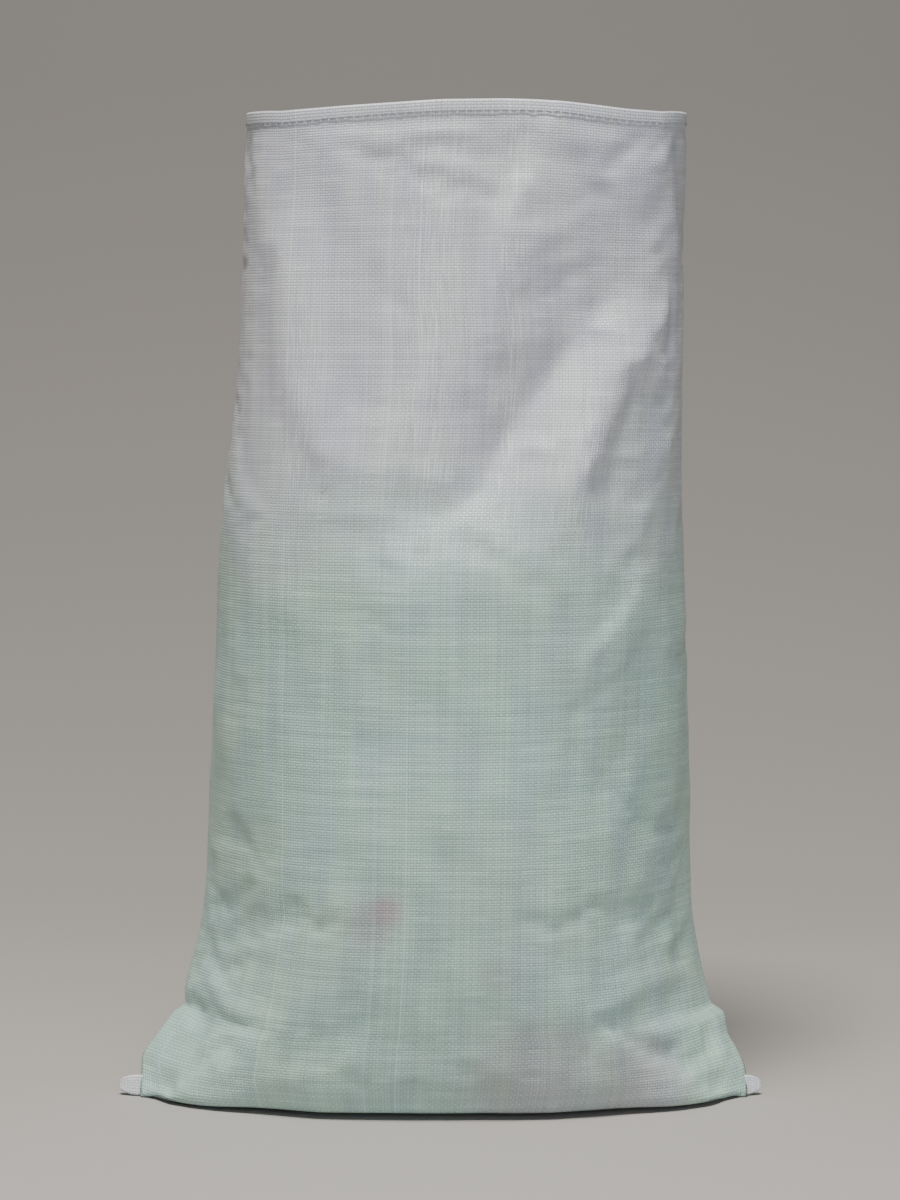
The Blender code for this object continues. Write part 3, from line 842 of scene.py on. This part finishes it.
def glints(tree, cut, across, up):
    """Painted highlights on upright tapes where the empty cloth is pulled smooth, above the fill."""
    where = 0.0
    for pixel, half, top in GLINT_PLACES.values():
        below = {"Value": up, "From Min": top, "From Max": top + GLINT_FADE, "To Min": 1.0, "To Max": 0.0}
        below = add_node(tree, RANGE, below)
        strip = near_line(tree, across, around_at(pixel), half)
        here = add_node(tree, MATH, {0: strip, 1: below}, operation="MULTIPLY")
        where = add_node(tree, MATH, {0: where, 1: here}, operation="MAXIMUM")
    above = add_node(tree, RANGE, {"Value": up, "From Min": GLINT_LOW, "From Max": GLINT_HIGH})
    where = add_node(tree, MATH, {0: where, 1: above}, operation="MULTIPLY")
    bright = {"From Min": GLINT_DARK, "From Max": GLINT_BRIGHT, "To Max": GLINT_SHARE}
    bright = add_node(tree, RANGE, {"Value": streaks(tree, cut, "glints"), **bright})
    return add_node(tree, MATH, {0: where, 1: bright}, operation="MULTIPLY")


def with_painted_highlights(tree, cut, across, up, tape):
    """The bare cloth with painted highlights: level lines, upright crease lines and glints."""
    broken = broken_lines(tree, cut, across, up)
    lines = add_node(tree, MATH, {0: broken, 1: LEVEL_SHARE}, operation="MULTIPLY")
    for pixel, half in UPRIGHT_LINES.values():
        crease = near_line(tree, across, around_at(pixel), half)
        faint = add_node(tree, MATH, {0: crease, 1: UPRIGHT_SHARE}, operation="MULTIPLY")
        lines = add_node(tree, MATH, {0: lines, 1: faint}, operation="MAXIMUM")
    # Painted highlight: the lines and glints are mixed into the colour.
    lined = add_node(tree, MIX, {0: lines, 6: tape, 7: linear(PAINTED_HIGHLIGHT)}, **COLOUR).outputs[2]
    shining = glints(tree, cut, across, up)
    return add_node(tree, MIX, {0: shining, 6: lined, 7: linear(PAINTED_HIGHLIGHT)}, **COLOUR).outputs[2]


# %% [markdown]
# The fill's colour is multiplied into the cloth, as colour that shines through a thin white film is, so the
# tapes stay visible in it. Small crinkles are bump too, and the fill brings them out more than the empty
# cloth above it does. The film itself is smooth, so the finish is fairly glossy.

# %% Finish of the cloth


def tinted_cloth(tree, cut, tape, green):
    """The cloth with the fill's colour shining through: two shades of green, and pink patches."""
    pink = add_node(tree, "ShaderNodeAttribute", attribute_name="pink").outputs["Fac"]
    through = {0: streaks(tree, cut, "green patches"), 6: linear(MINT_THROUGH), 7: linear(LEAF_THROUGH)}
    through = add_node(tree, MIX, through, **COLOUR).outputs[2]
    over_green = add_node(tree, MIX, {0: green, 6: tape, 7: through}, **TINT).outputs[2]
    over_pink = add_node(tree, MIX, {0: 1.0, 6: tape, 7: linear(PINK_THROUGH)}, **TINT).outputs[2]
    return add_node(tree, MIX, {0: pink, 6: over_green, 7: over_pink}, **COLOUR).outputs[2]


def woven_tape():
    """Slit-film polypropylene cloth: white, faintly glossy, ribbed both ways, tinted where the fill lies."""
    material, tree, shader = new_material("woven_polypropylene")
    cut = add_node(tree, "ShaderNodeUVMap", uv_map="cut")
    place = add_node(tree, "ShaderNodeSeparateXYZ", {0: cut})
    across, up = place.outputs[0], place.outputs[1]
    checks = add_node(tree, "ShaderNodeTexChecker", {"Vector": cut, "Scale": 1 / TAPE}).outputs["Fac"]
    green = add_node(tree, "ShaderNodeAttribute", attribute_name="green").outputs["Fac"]
    pillow, height = tape_relief(tree, across, up, checks)
    tape = with_painted_highlights(tree, cut, across, up, tape_colour(tree, cut, checks))
    tinted = tinted_cloth(tree, cut, tape, green)
    # Painted shade: the hollows between the tape pillows are darkened in the colour.
    gaps = add_node(tree, RANGE, {"Value": pillow, "From Max": GAP_EDGE, "To Min": GAP_DEPTH, "To Max": 0.0})
    shaded = add_node(tree, MIX, {0: gaps, 6: tinted, 7: linear(GAP_PAINTED_SHADE)}, **TINT).outputs[2]
    tree.links.new(shaded, shader.inputs["Base Color"])
    over_fill = add_node(tree, RANGE, {"Value": green, "To Min": EMPTY_CRINKLE})
    crinkles = streaks(tree, cut, "crinkles")
    rumpled = add_node(tree, MATH, {0: crinkles, 1: over_fill}, operation="MULTIPLY")
    rumple = add_node(tree, "ShaderNodeBump", {"Height": rumpled, "Strength": 0.5, "Distance": 0.0008})
    relief = {"Height": height, "Strength": 0.6, "Distance": 0.0005, "Normal": rumple}
    tree.links.new(add_node(tree, "ShaderNodeBump", relief).outputs[0], shader.inputs["Normal"])
    shader.inputs["Roughness"].default_value = 0.33
    shader.inputs["IOR"].default_value = 1.49
    return material


cloth_material = woven_tape()
sack.data.materials.clear()
sack.data.materials.append(cloth_material)
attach(sack, "root")
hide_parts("sack")

# %% [markdown]
# At the mouth the cloth is turned over once and stitched down, so that the cut tapes can't fray. The turned
# part stands half a millimetre proud of the wall. It is made as a narrow U that rides over the lip, and it
# follows the cloth's own rows, so it bends exactly as the wall does. Its lower edge wanders a little.

# %% Hem
HEM_DEPTH, HEM_STAND, HEM_WANDER = 0.012, 0.0005, 0.0004
HEM_SECTION = ((0.4, 1.0), (1.0, 0.93), (1.0, 0.5), (1.0, 0.1), (0.5, -0.05),
               (-0.8, -0.05), (-2.0, 0.1), (-2.0, 0.9), (-1.2, 1.0))
hem_outward = grid_normals(cloth_points)[-2]


def on_wall(column, drop, stand):
    """A place on the outside of the cloth, a drop below the lip and proud of it."""
    downwards = cloth_points[::-1, column]
    down = np.r_[0, np.cumsum(np.linalg.norm(np.diff(downwards, axis=0), axis=1))]
    place = np.array([np.interp(drop, down, downwards[:, i]) for i in range(3)])
    place[2] -= min(drop, 0)
    return place + hem_outward[column] * stand


def hem_object():
    """The turned edge, one closed ring."""
    corners, faces, cut = [], [], []
    wander = np.random.default_rng(12).normal(0, HEM_WANDER, FINE_COLUMNS)
    count = len(HEM_SECTION)
    for column in range(FINE_COLUMNS):
        for stand, depth in HEM_SECTION:
            drop = depth * HEM_DEPTH + (wander[column] if depth > 0.9 else 0)
            corners.append(on_wall(column, drop, stand * HEM_STAND))
    for column in range(FINE_COLUMNS):
        after = (column + 1) % FINE_COLUMNS
        for i in range(count):
            j = (i + 1) % count
            faces.append((column * count + i, after * count + i, after * count + j, column * count + j))
            for u, k in ((column, i), (column + 1, i), (column + 1, j), (column, j)):
                cut.append((u / FINE_COLUMNS * 2 * FLAT_WIDTH, FLAT_LENGTH - HEM_SECTION[k][1] * HEM_DEPTH))
    made = mesh_object("mouth_hem", corners, faces, flat=cut)
    made.data.shade_smooth()
    return made


hem = hem_object()
hem.data.materials.append(cloth_material)
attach(hem, "root")

# %% [markdown]
# Stitches repeat along a line, which is what Geometry Nodes are for. One small tree turns a line of points
# into a curve, sets a point at every stitch, puts a stretched bead on it that looks along the curve, and
# makes them real. The same tree sews the hem and the foot.

# %% Stitch tree
BEAD_SEGMENTS, BEAD_RINGS = 8, 6


def node_tree(name, sockets):
    """A Geometry Nodes tree with its inputs, and what it needs to be filled in."""
    tree = bpy.data.node_groups.new(name, "GeometryNodeTree")
    tree.interface.new_socket("Geometry", in_out="INPUT", socket_type="NodeSocketGeometry")
    for label, kind in sockets:
        tree.interface.new_socket(label, in_out="INPUT", socket_type=kind)
    tree.interface.new_socket("Geometry", in_out="OUTPUT", socket_type="NodeSocketGeometry")
    return tree, tree.nodes.new("NodeGroupInput"), tree.nodes.new("NodeGroupOutput")


def run_tree(made, tree, values, name):
    """Runs a tree on an object and returns the result as a plain mesh object."""
    modifier = made.modifiers.new(tree.name, "NODES")
    modifier.node_group = tree
    for item in tree.interface.items_tree:
        if item.in_out == "INPUT" and item.name in values:
            modifier[item.identifier] = values[item.name]
    return plain_mesh(made, name)


def stitch_tree():
    """Beads of thread along a line."""
    tree, given, result = node_tree("stitches", [
        ("Pitch", "NodeSocketFloat"), ("Stitch length", "NodeSocketFloat"),
        ("Thread radius", "NodeSocketFloat"), ("Thread", "NodeSocketMaterial")])
    radius = given.outputs["Thread radius"]
    curve = add_node(tree, "GeometryNodeMeshToCurve", {"Mesh": given})
    spaced = {"Curve": curve, "Length": given.outputs["Pitch"]}
    places = add_node(tree, "GeometryNodeResampleCurve", spaced, mode="LENGTH")
    tangent = add_node(tree, "GeometryNodeInputTangent")
    turn = add_node(tree, "FunctionNodeAlignRotationToVector", {"Vector": tangent}, axis="Z")
    round_bead = {"Segments": BEAD_SEGMENTS, "Rings": BEAD_RINGS, "Radius": 1.0}
    bead = add_node(tree, "GeometryNodeMeshUVSphere", round_bead)
    half = add_node(tree, MATH, {0: given.outputs["Stitch length"], 1: 0.5}, operation="MULTIPLY")
    scale = add_node(tree, "ShaderNodeCombineXYZ", {0: radius, 1: radius, 2: half})
    copies = {"Points": places, "Instance": bead, "Rotation": turn, "Scale": scale}
    beads = add_node(tree, "GeometryNodeInstanceOnPoints", copies)
    real = add_node(tree, "GeometryNodeRealizeInstances", {"Geometry": beads})
    smooth = add_node(tree, "GeometryNodeSetShadeSmooth", {"Geometry": real})
    finished = {"Geometry": smooth, "Material": given.outputs["Thread"]}
    coloured = add_node(tree, "GeometryNodeSetMaterial", finished)
    tree.links.new(coloured.outputs[0], result.inputs[0])
    return tree


def line_object(name, points, closed):
    """A line of points as a mesh of edges."""
    edges = [(i, i + 1) for i in range(len(points) - 1)] + ([(len(points) - 1, 0)] if closed else [])
    return mesh_object(name, points, [], edges)


# %% [markdown]
# The thread is spun polyester, a grey one. It is matt, and its strands are twisted, which gives the eye fine
# slanting bands of two greys.

# %% Thread
THREAD_DARK, THREAD_LIGHT = "#7C7E83", "#9A9CA1"
# One band of the twist is about 0.35 mm wide.
TWIST_SCALE = 900.0


def twisted_thread():
    """Grey polyester sewing thread: matt, with the fine slanting twist of its strands."""
    material, tree, shader = new_material("polyester_thread")
    place = add_node(tree, "ShaderNodeTexCoord").outputs["Object"]
    strands = {"Vector": place, "Scale": TWIST_SCALE, "Distortion": 1.5}
    twist = add_node(tree, "ShaderNodeTexWave", strands, bands_direction="DIAGONAL").outputs["Fac"]
    greys = {0: twist, 6: linear(THREAD_DARK), 7: linear(THREAD_LIGHT)}
    tree.links.new(add_node(tree, MIX, greys, **COLOUR).outputs[2], shader.inputs["Base Color"])
    shader.inputs["Roughness"].default_value = 0.7
    return material


# %% [markdown]
# The stitch line runs about 8 mm under the lip, through the turned part, and wavers a little, as a long
# sewn line does. The beads are a little sunk in the cloth.

# %% Sew the hem
STITCH_DROP, STITCH_WAVER = 0.0082, 0.0007
THREAD_RADIUS = 0.00036
STITCH_SIZES = {"Pitch": 0.0068, "Stitch length": 0.0058, "Thread radius": THREAD_RADIUS,
                "Thread": twisted_thread()}
stitches = stitch_tree()
waver = STITCH_WAVER * slow_noise(cloth_points, 0.06, 44)[-1]
stand = HEM_STAND + THREAD_RADIUS * 0.8
hem_line = [on_wall(column, STITCH_DROP + waver[column], stand) for column in range(FINE_COLUMNS)]
hem_stitches = run_tree(line_object("hem line", hem_line, True), stitches, STITCH_SIZES, "hem_stitches")
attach(hem_stitches, "root")
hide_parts("mouth_hem_thread")
print("hem stitches", len(hem_stitches.data.polygons) // (BEAD_SEGMENTS * BEAD_RINGS))

# %% [markdown]
# Under the foot, the flat tube is folded over by nearly two centimetres and sewn through all its layers.
# The sack stands on this fold, so only its two ends show: stiff little tabs that stand up at the corners
# and lean back a little. The strip is a row of stations along the seam. It lies flat under the sack and
# turns up at each end, and its end corners are rounded.

# %% Folded foot
STRIP_WIDTH, STRIP_THICKNESS, STRIP_HEIGHT = 0.017, 0.0014, 0.0007
STRIP_STATIONS, STRIP_POINTS = 401, 9
TURN_START, TURN_END = 0.226, 0.243
TAB_TILT = math.radians(72)
TAB_CURL, TAB_BACK = 0.002, 0.008
END_ROUNDING, END_NARROWING = 0.016, 0.46
STRIP_ON_CUT = 0.8


def strip_frame(x):
    """Middle of the strip's lower edge at x, and the direction across it."""
    turn = np.clip((abs(x) - TURN_START) / (TURN_END - TURN_START), 0, 1)
    tilt = TAB_TILT * turn * turn * (3 - 2 * turn)
    curl = TAB_CURL * np.clip((abs(x) - TURN_END) / (sack_high.x - TURN_END), 0, 1) ** 2
    back = TAB_BACK * turn + curl - corner_forward(x, 0.0) - STRIP_WIDTH / 2 * math.cos(tilt)
    return np.array((x, back, STRIP_HEIGHT)), np.array((0, math.cos(tilt), math.sin(tilt)))


def foot_object():
    """The sewn strip with its two upright tabs."""
    corners, faces, cut = [], [], []
    for x in np.linspace(-sack_high.x, sack_high.x, STRIP_STATIONS):
        start, direction = strip_frame(x)
        inside = min((sack_high.x - abs(x)) / END_ROUNDING, 1)
        lift = (1 - math.sqrt(max(1 - (1 - inside) ** 2, 0))) * END_NARROWING * STRIP_WIDTH
        for share in np.linspace(0, 1, STRIP_POINTS):
            corners.append(start + direction * (lift + share * (STRIP_WIDTH - 2 * lift)))
    for station in range(STRIP_STATIONS - 1):
        for point in range(STRIP_POINTS - 1):
            a = station * STRIP_POINTS + point
            face = (a, a + STRIP_POINTS, a + STRIP_POINTS + 1, a + 1)
            faces.append(face)
            for i in face:
                share = i % STRIP_POINTS / (STRIP_POINTS - 1)
                cut.append((corners[i][0] + STRIP_ON_CUT, share * STRIP_WIDTH))
    made = mesh_object("rough foot", corners, faces, flat=cut)
    made.data.shade_smooth()
    thicker = made.modifiers.new("thicker", "SOLIDIFY")
    thicker.thickness = STRIP_THICKNESS
    thicker.offset = 0
    return plain_mesh(made, "foot_fold")


foot = foot_object()
foot.data.materials.append(cloth_material)
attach(foot, "root")

# %% [markdown]
# The same stitches close the folded foot, from the end of one tab to the end of the other.

# %% Sew the foot
SEAM_SHARE, SEAM_POINTS, SEAM_END, SEAM_STAND = 0.55, 90, 0.004, 0.0007
seam_line = []
for x in np.linspace(-sack_high.x + SEAM_END, sack_high.x - SEAM_END, SEAM_POINTS):
    start, direction = strip_frame(x)
    outward = np.array((0, -direction[2], direction[1])) if abs(x) > TURN_START else np.array((0, 0, 1))
    stand = outward * np.sign(abs(x) - TURN_START) * SEAM_STAND
    seam_line.append(start + direction * STRIP_WIDTH * SEAM_SHARE - stand)
foot_stitches = run_tree(line_object("seam line", seam_line, False), stitches, STITCH_SIZES, "foot_stitches")
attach(foot_stitches, "root")
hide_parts("bottom_seam_thread")
print("foot stitches", len(foot_stitches.data.polygons) // (BEAD_SEGMENTS * BEAD_RINGS))

# %% [markdown]
# The scraps inside are only seen from above, through the mouth. The heap follows the inside of the cloth
# a few millimetres away from it, and its top is a low, lumpy crown. The scraps are soft and matt, so the
# finish is a mosaic of small patches, most of them pale green, some white and a few pink, each a bit raised.

# %% Heap of scraps
HEAP_GAP = 0.006
HEAP_FIRST_ROW = BASE_ROWS + 2
HEAP_EDGE = fill_high.z - 0.035
CROWN_STEPS, CROWN_HEIGHT = 12, 0.035
HEAP_LUMP, HEAP_LUMP_SIZE = 0.006, 0.05
SCRAP_GREEN, SCRAP_WHITE, SCRAP_PINK = "#BFDCC8", "#DCE6DD", "#D9B4BC"
WHITE_FROM, PINK_FROM = 0.70, 0.92
PATCH_SIZE = 0.025


def ring_faces(rings, count):
    """Faces between rings of points, each ring closed on itself."""
    pairs = [(c, (c + 1) % count) for c in range(count)]
    return [(r * count + c, r * count + d, (r + 1) * count + d, (r + 1) * count + c)
            for r in range(rings - 1) for c, d in pairs]


def heap_object():
    """A closed heap: the cloth's inside up to the fill's edge, and a crown over it."""
    inside = (cloth_points - grid_normals(cloth_points) * HEAP_GAP)[::2, ::2]
    edge_row = int(np.argmin(np.abs(inside[:, :, 2].mean(1) - HEAP_EDGE)))
    rings = [inside[row] for row in range(HEAP_FIRST_ROW, edge_row + 1)]
    rim = rings[-1]
    centre = rim.mean(0)
    for step in range(1, CROWN_STEPS):
        share = step / CROWN_STEPS
        ring = centre + (rim - centre) * (1 - share)
        crown = CROWN_HEIGHT * math.sin(share * math.pi / 2)
        ring[:, 2] = rim[:, 2] * (1 - share) + centre[2] * share + crown
        rings.append(ring)
    rings = np.array(rings)
    lumps = slow_noise(rings, HEAP_LUMP_SIZE, 21) * HEAP_LUMP
    rings[-CROWN_STEPS:, :, 2] += lumps[-CROWN_STEPS:]
    count, in_ring = rings.shape[:2]
    bottom = list(range(in_ring))[::-1]
    top = [(count - 1) * in_ring + c for c in range(in_ring)]
    made = mesh_object("scrap_heap", rings.reshape(-1, 3), ring_faces(count, in_ring) + [bottom, top])
    made.data.shade_smooth()
    return made


def scrap_material():
    """Soft pale green scraps with pink and white ones among them, matt."""
    material, tree, shader = new_material("pale_scraps")
    place = add_node(tree, "ShaderNodeTexCoord").outputs["Object"]
    cells = add_node(tree, "ShaderNodeTexVoronoi", {"Vector": place, "Scale": 1 / PATCH_SIZE})
    hue = add_node(tree, "ShaderNodeSeparateColor", {0: cells.outputs["Color"]})
    tone = add_node(tree, "ShaderNodeAttribute", attribute_name="tone").outputs["Fac"]
    either = add_node(tree, MATH, {0: hue, 1: tone}, operation="MAXIMUM")
    ramp = add_node(tree, "ShaderNodeValToRGB", {0: either})
    ramp.color_ramp.interpolation = "CONSTANT"
    stops = ramp.color_ramp.elements
    stops[0].color = linear(SCRAP_GREEN)
    stops[1].position = WHITE_FROM
    stops[1].color = linear(SCRAP_WHITE)
    stops.new(PINK_FROM).color = linear(SCRAP_PINK)
    tree.links.new(ramp.outputs[0], shader.inputs["Base Color"])
    raised = {"Height": cells.outputs["Distance"], "Strength": 0.8, "Distance": 0.004}
    tree.links.new(add_node(tree, "ShaderNodeBump", raised).outputs[0], shader.inputs["Normal"])
    shader.inputs["Roughness"].default_value = 0.8
    return material


scraps = scrap_material()
heap = heap_object()
heap.data.materials.append(scraps)
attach(heap, "root")
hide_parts("contents")
print("heap top", round(max(corner.co.z for corner in heap.data.vertices), 3))

# %% [markdown]
# On the crown lie loose crumpled pieces. One crumpled scrap is modelled: a small sheet pushed about by
# noise. A second tree scatters it over the middle of the crown, turns each copy its own way, and gives
# each one a tone that the material reads.

# %% Loose scraps on the heap
SCRAP_SIZE, SCRAP_CREASE, SCRAP_RAGGED = 0.046, 0.0055, 0.0016
SCRAP_SIDE = 7
SCRAP_TURNS = (-0.9, -0.9, 0.0), (0.9, 0.9, 2 * math.pi)
SCRAP_SCALES = 0.55, 1.15
SCATTER_RINGS, SCATTER_LIFT = 8, 0.006


def scrap_object():
    """One crumpled scrap, about 46 mm across."""
    random = np.random.default_rng(5)
    steps = np.linspace(-0.5, 0.5, SCRAP_SIDE)
    corners = [(x * SCRAP_SIZE + random.normal(0, SCRAP_RAGGED),
                y * SCRAP_SIZE + random.normal(0, SCRAP_RAGGED),
                random.normal(0, SCRAP_CREASE)) for y in steps for x in steps]
    firsts = [i * SCRAP_SIDE + k for i in range(SCRAP_SIDE - 1) for k in range(SCRAP_SIDE - 1)]
    return mesh_object("scrap", corners, [(a, a + 1, a + SCRAP_SIDE + 1, a + SCRAP_SIDE) for a in firsts])


def scatter_tree():
    """Copies of one scrap over a surface."""
    tree, given, result = node_tree("scattered scraps", [
        ("Scrap", "NodeSocketObject"), ("Density", "NodeSocketFloat"),
        ("Seed", "NodeSocketInt"), ("Stuff", "NodeSocketMaterial")])
    asked = {"Mesh": given, "Density": given.outputs["Density"], "Seed": given.outputs["Seed"]}
    points = add_node(tree, "GeometryNodeDistributePointsOnFaces", asked)
    scrap = add_node(tree, "GeometryNodeObjectInfo", {"Object": given.outputs["Scrap"]})
    turns = {0: SCRAP_TURNS[0], 1: SCRAP_TURNS[1], 8: 3}
    turn = add_node(tree, "FunctionNodeRandomValue", turns, data_type="FLOAT_VECTOR")
    sizes = {2: SCRAP_SCALES[0], 3: SCRAP_SCALES[1], 8: 4}
    size = add_node(tree, "FunctionNodeRandomValue", sizes, data_type="FLOAT").outputs[1]
    tone = add_node(tree, "FunctionNodeRandomValue", {2: 0.0, 3: 1.0, 8: 9}, data_type="FLOAT").outputs[1]
    placed = {"Points": points, "Instance": scrap.outputs["Geometry"], "Rotation": turn, "Scale": size}
    copies = add_node(tree, "GeometryNodeInstanceOnPoints", placed)
    toned = {"Geometry": copies, "Name": "tone", "Value": tone}
    toned = add_node(tree, "GeometryNodeStoreNamedAttribute", toned, data_type="FLOAT", domain="INSTANCE")
    real = add_node(tree, "GeometryNodeRealizeInstances", {"Geometry": toned})
    finished = {"Geometry": real, "Material": given.outputs["Stuff"]}
    coloured = add_node(tree, "GeometryNodeSetMaterial", finished)
    tree.links.new(coloured.outputs[0], result.inputs[0])
    return tree


def crown_object():
    """The middle of the heap's top, where loose scraps may lie clear of the cloth."""
    corners = np.array([v.co for v in heap.data.vertices]).reshape(-1, COLUMNS, 3)[-SCATTER_RINGS:]
    corners[:, :, 2] += SCATTER_LIFT
    return mesh_object("crown", corners.reshape(-1, 3), ring_faces(len(corners), COLUMNS))


one_scrap = scrap_object()
scattered = {"Scrap": one_scrap, "Density": 4200.0, "Seed": 7, "Stuff": scraps}
loose = run_tree(crown_object(), scatter_tree(), scattered, "loose_scraps")
bpy.data.objects.remove(one_scrap, do_unlink=True)
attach(loose, "root")
print("loose scraps", len(loose.data.polygons) // (SCRAP_SIDE - 1) ** 2)

# %% [markdown]
# The stage is grey paper: a floor that curves up into a plain wall. Its colour gets darker with depth, which
# is painted shade for light that falls off away from the lamp, so that the pale sack stands out. One large
# soft light hangs high overhead, in front of the sack and a little to its left, and a weak cool one fills in
# from the front right. That comes close to the photograph's light.

# %% Floor and lights
BACKDROP_HALF, BACKDROP_DEPTH, BACKDROP_HEIGHT, BACKDROP_BEND = 6.0, 0.7, 4.2, 2.2
BEND_STEPS = 16
PAPER_NEAR, PAPER_FAR_PAINTED_SHADE = "#A09C98", "#706D6A"
NEAR_DEPTH, FAR_DEPTH = -0.4, 2.6
WORLD_COLOUR, WORLD_STRENGTH = "#E8E8EA", 0.08


def backdrop():
    """A floor and a wall joined by a round bend, of matt paper, with painted shade that darkens with depth.
    """
    profile = [(-BACKDROP_HALF, 0.0), (BACKDROP_DEPTH, 0.0)]
    for step in range(1, BEND_STEPS + 1):
        turn = step / BEND_STEPS * math.pi / 2
        depth = BACKDROP_DEPTH + BACKDROP_BEND * math.sin(turn)
        profile.append((depth, BACKDROP_BEND * (1 - math.cos(turn))))
    profile.append((BACKDROP_DEPTH + BACKDROP_BEND, BACKDROP_HEIGHT))
    corners = [(x, y, z) for y, z in profile for x in (-BACKDROP_HALF, BACKDROP_HALF)]
    faces = [(2 * i, 2 * i + 1, 2 * i + 3, 2 * i + 2) for i in range(len(profile) - 1)]
    made = mesh_object("backdrop", corners, faces)
    made.data.shade_smooth()
    material, tree, shader = new_material("matt_backdrop_paper")
    place = add_node(tree, "ShaderNodeTexCoord").outputs["Object"]
    depth = add_node(tree, "ShaderNodeSeparateXYZ", {0: place}).outputs[1]
    # Painted shade: the paper's colour darkens with depth, for light falling off.
    far = add_node(tree, RANGE, {"Value": depth, "From Min": NEAR_DEPTH, "From Max": FAR_DEPTH})
    paper = add_node(tree, MIX, {0: far, 6: linear(PAPER_NEAR), 7: linear(PAPER_FAR_PAINTED_SHADE)}, **COLOUR).outputs[2]
    tree.links.new(paper, shader.inputs["Base Color"])
    shader.inputs["Roughness"].default_value = 0.85
    made.data.materials.append(material)
    return made


def soft_light(name, place, aim, width, power, colour):
    """A square area light that looks at a point."""
    data = bpy.data.lights.new(name, "AREA")
    data.shape = "SQUARE"
    data.size = width
    data.energy = power
    data.color = linear(colour)[:3]
    made = bpy.data.objects.new(name, data)
    made.location = place
    made.rotation_euler = (Vector(aim) - Vector(place)).to_track_quat("-Z", "Y").to_euler()
    bpy.context.scene.collection.objects.link(made)


backdrop()
soft_light("overhead softbox", (-0.35, -1.45, 5.4), (0, -0.1, 0.40), 1.6, 535, "#FFFCF7")
soft_light("front fill", (0.9, -3.2, 1.0), (0, 0, 0.25), 1.6, 34, "#E8F0FF")
world = bpy.data.worlds.new("room")
world.use_nodes = True
background = world.node_tree.nodes["Background"]
background.inputs["Color"].default_value = linear(WORLD_COLOUR)
background.inputs["Strength"].default_value = WORLD_STRENGTH
bpy.context.scene.world = world
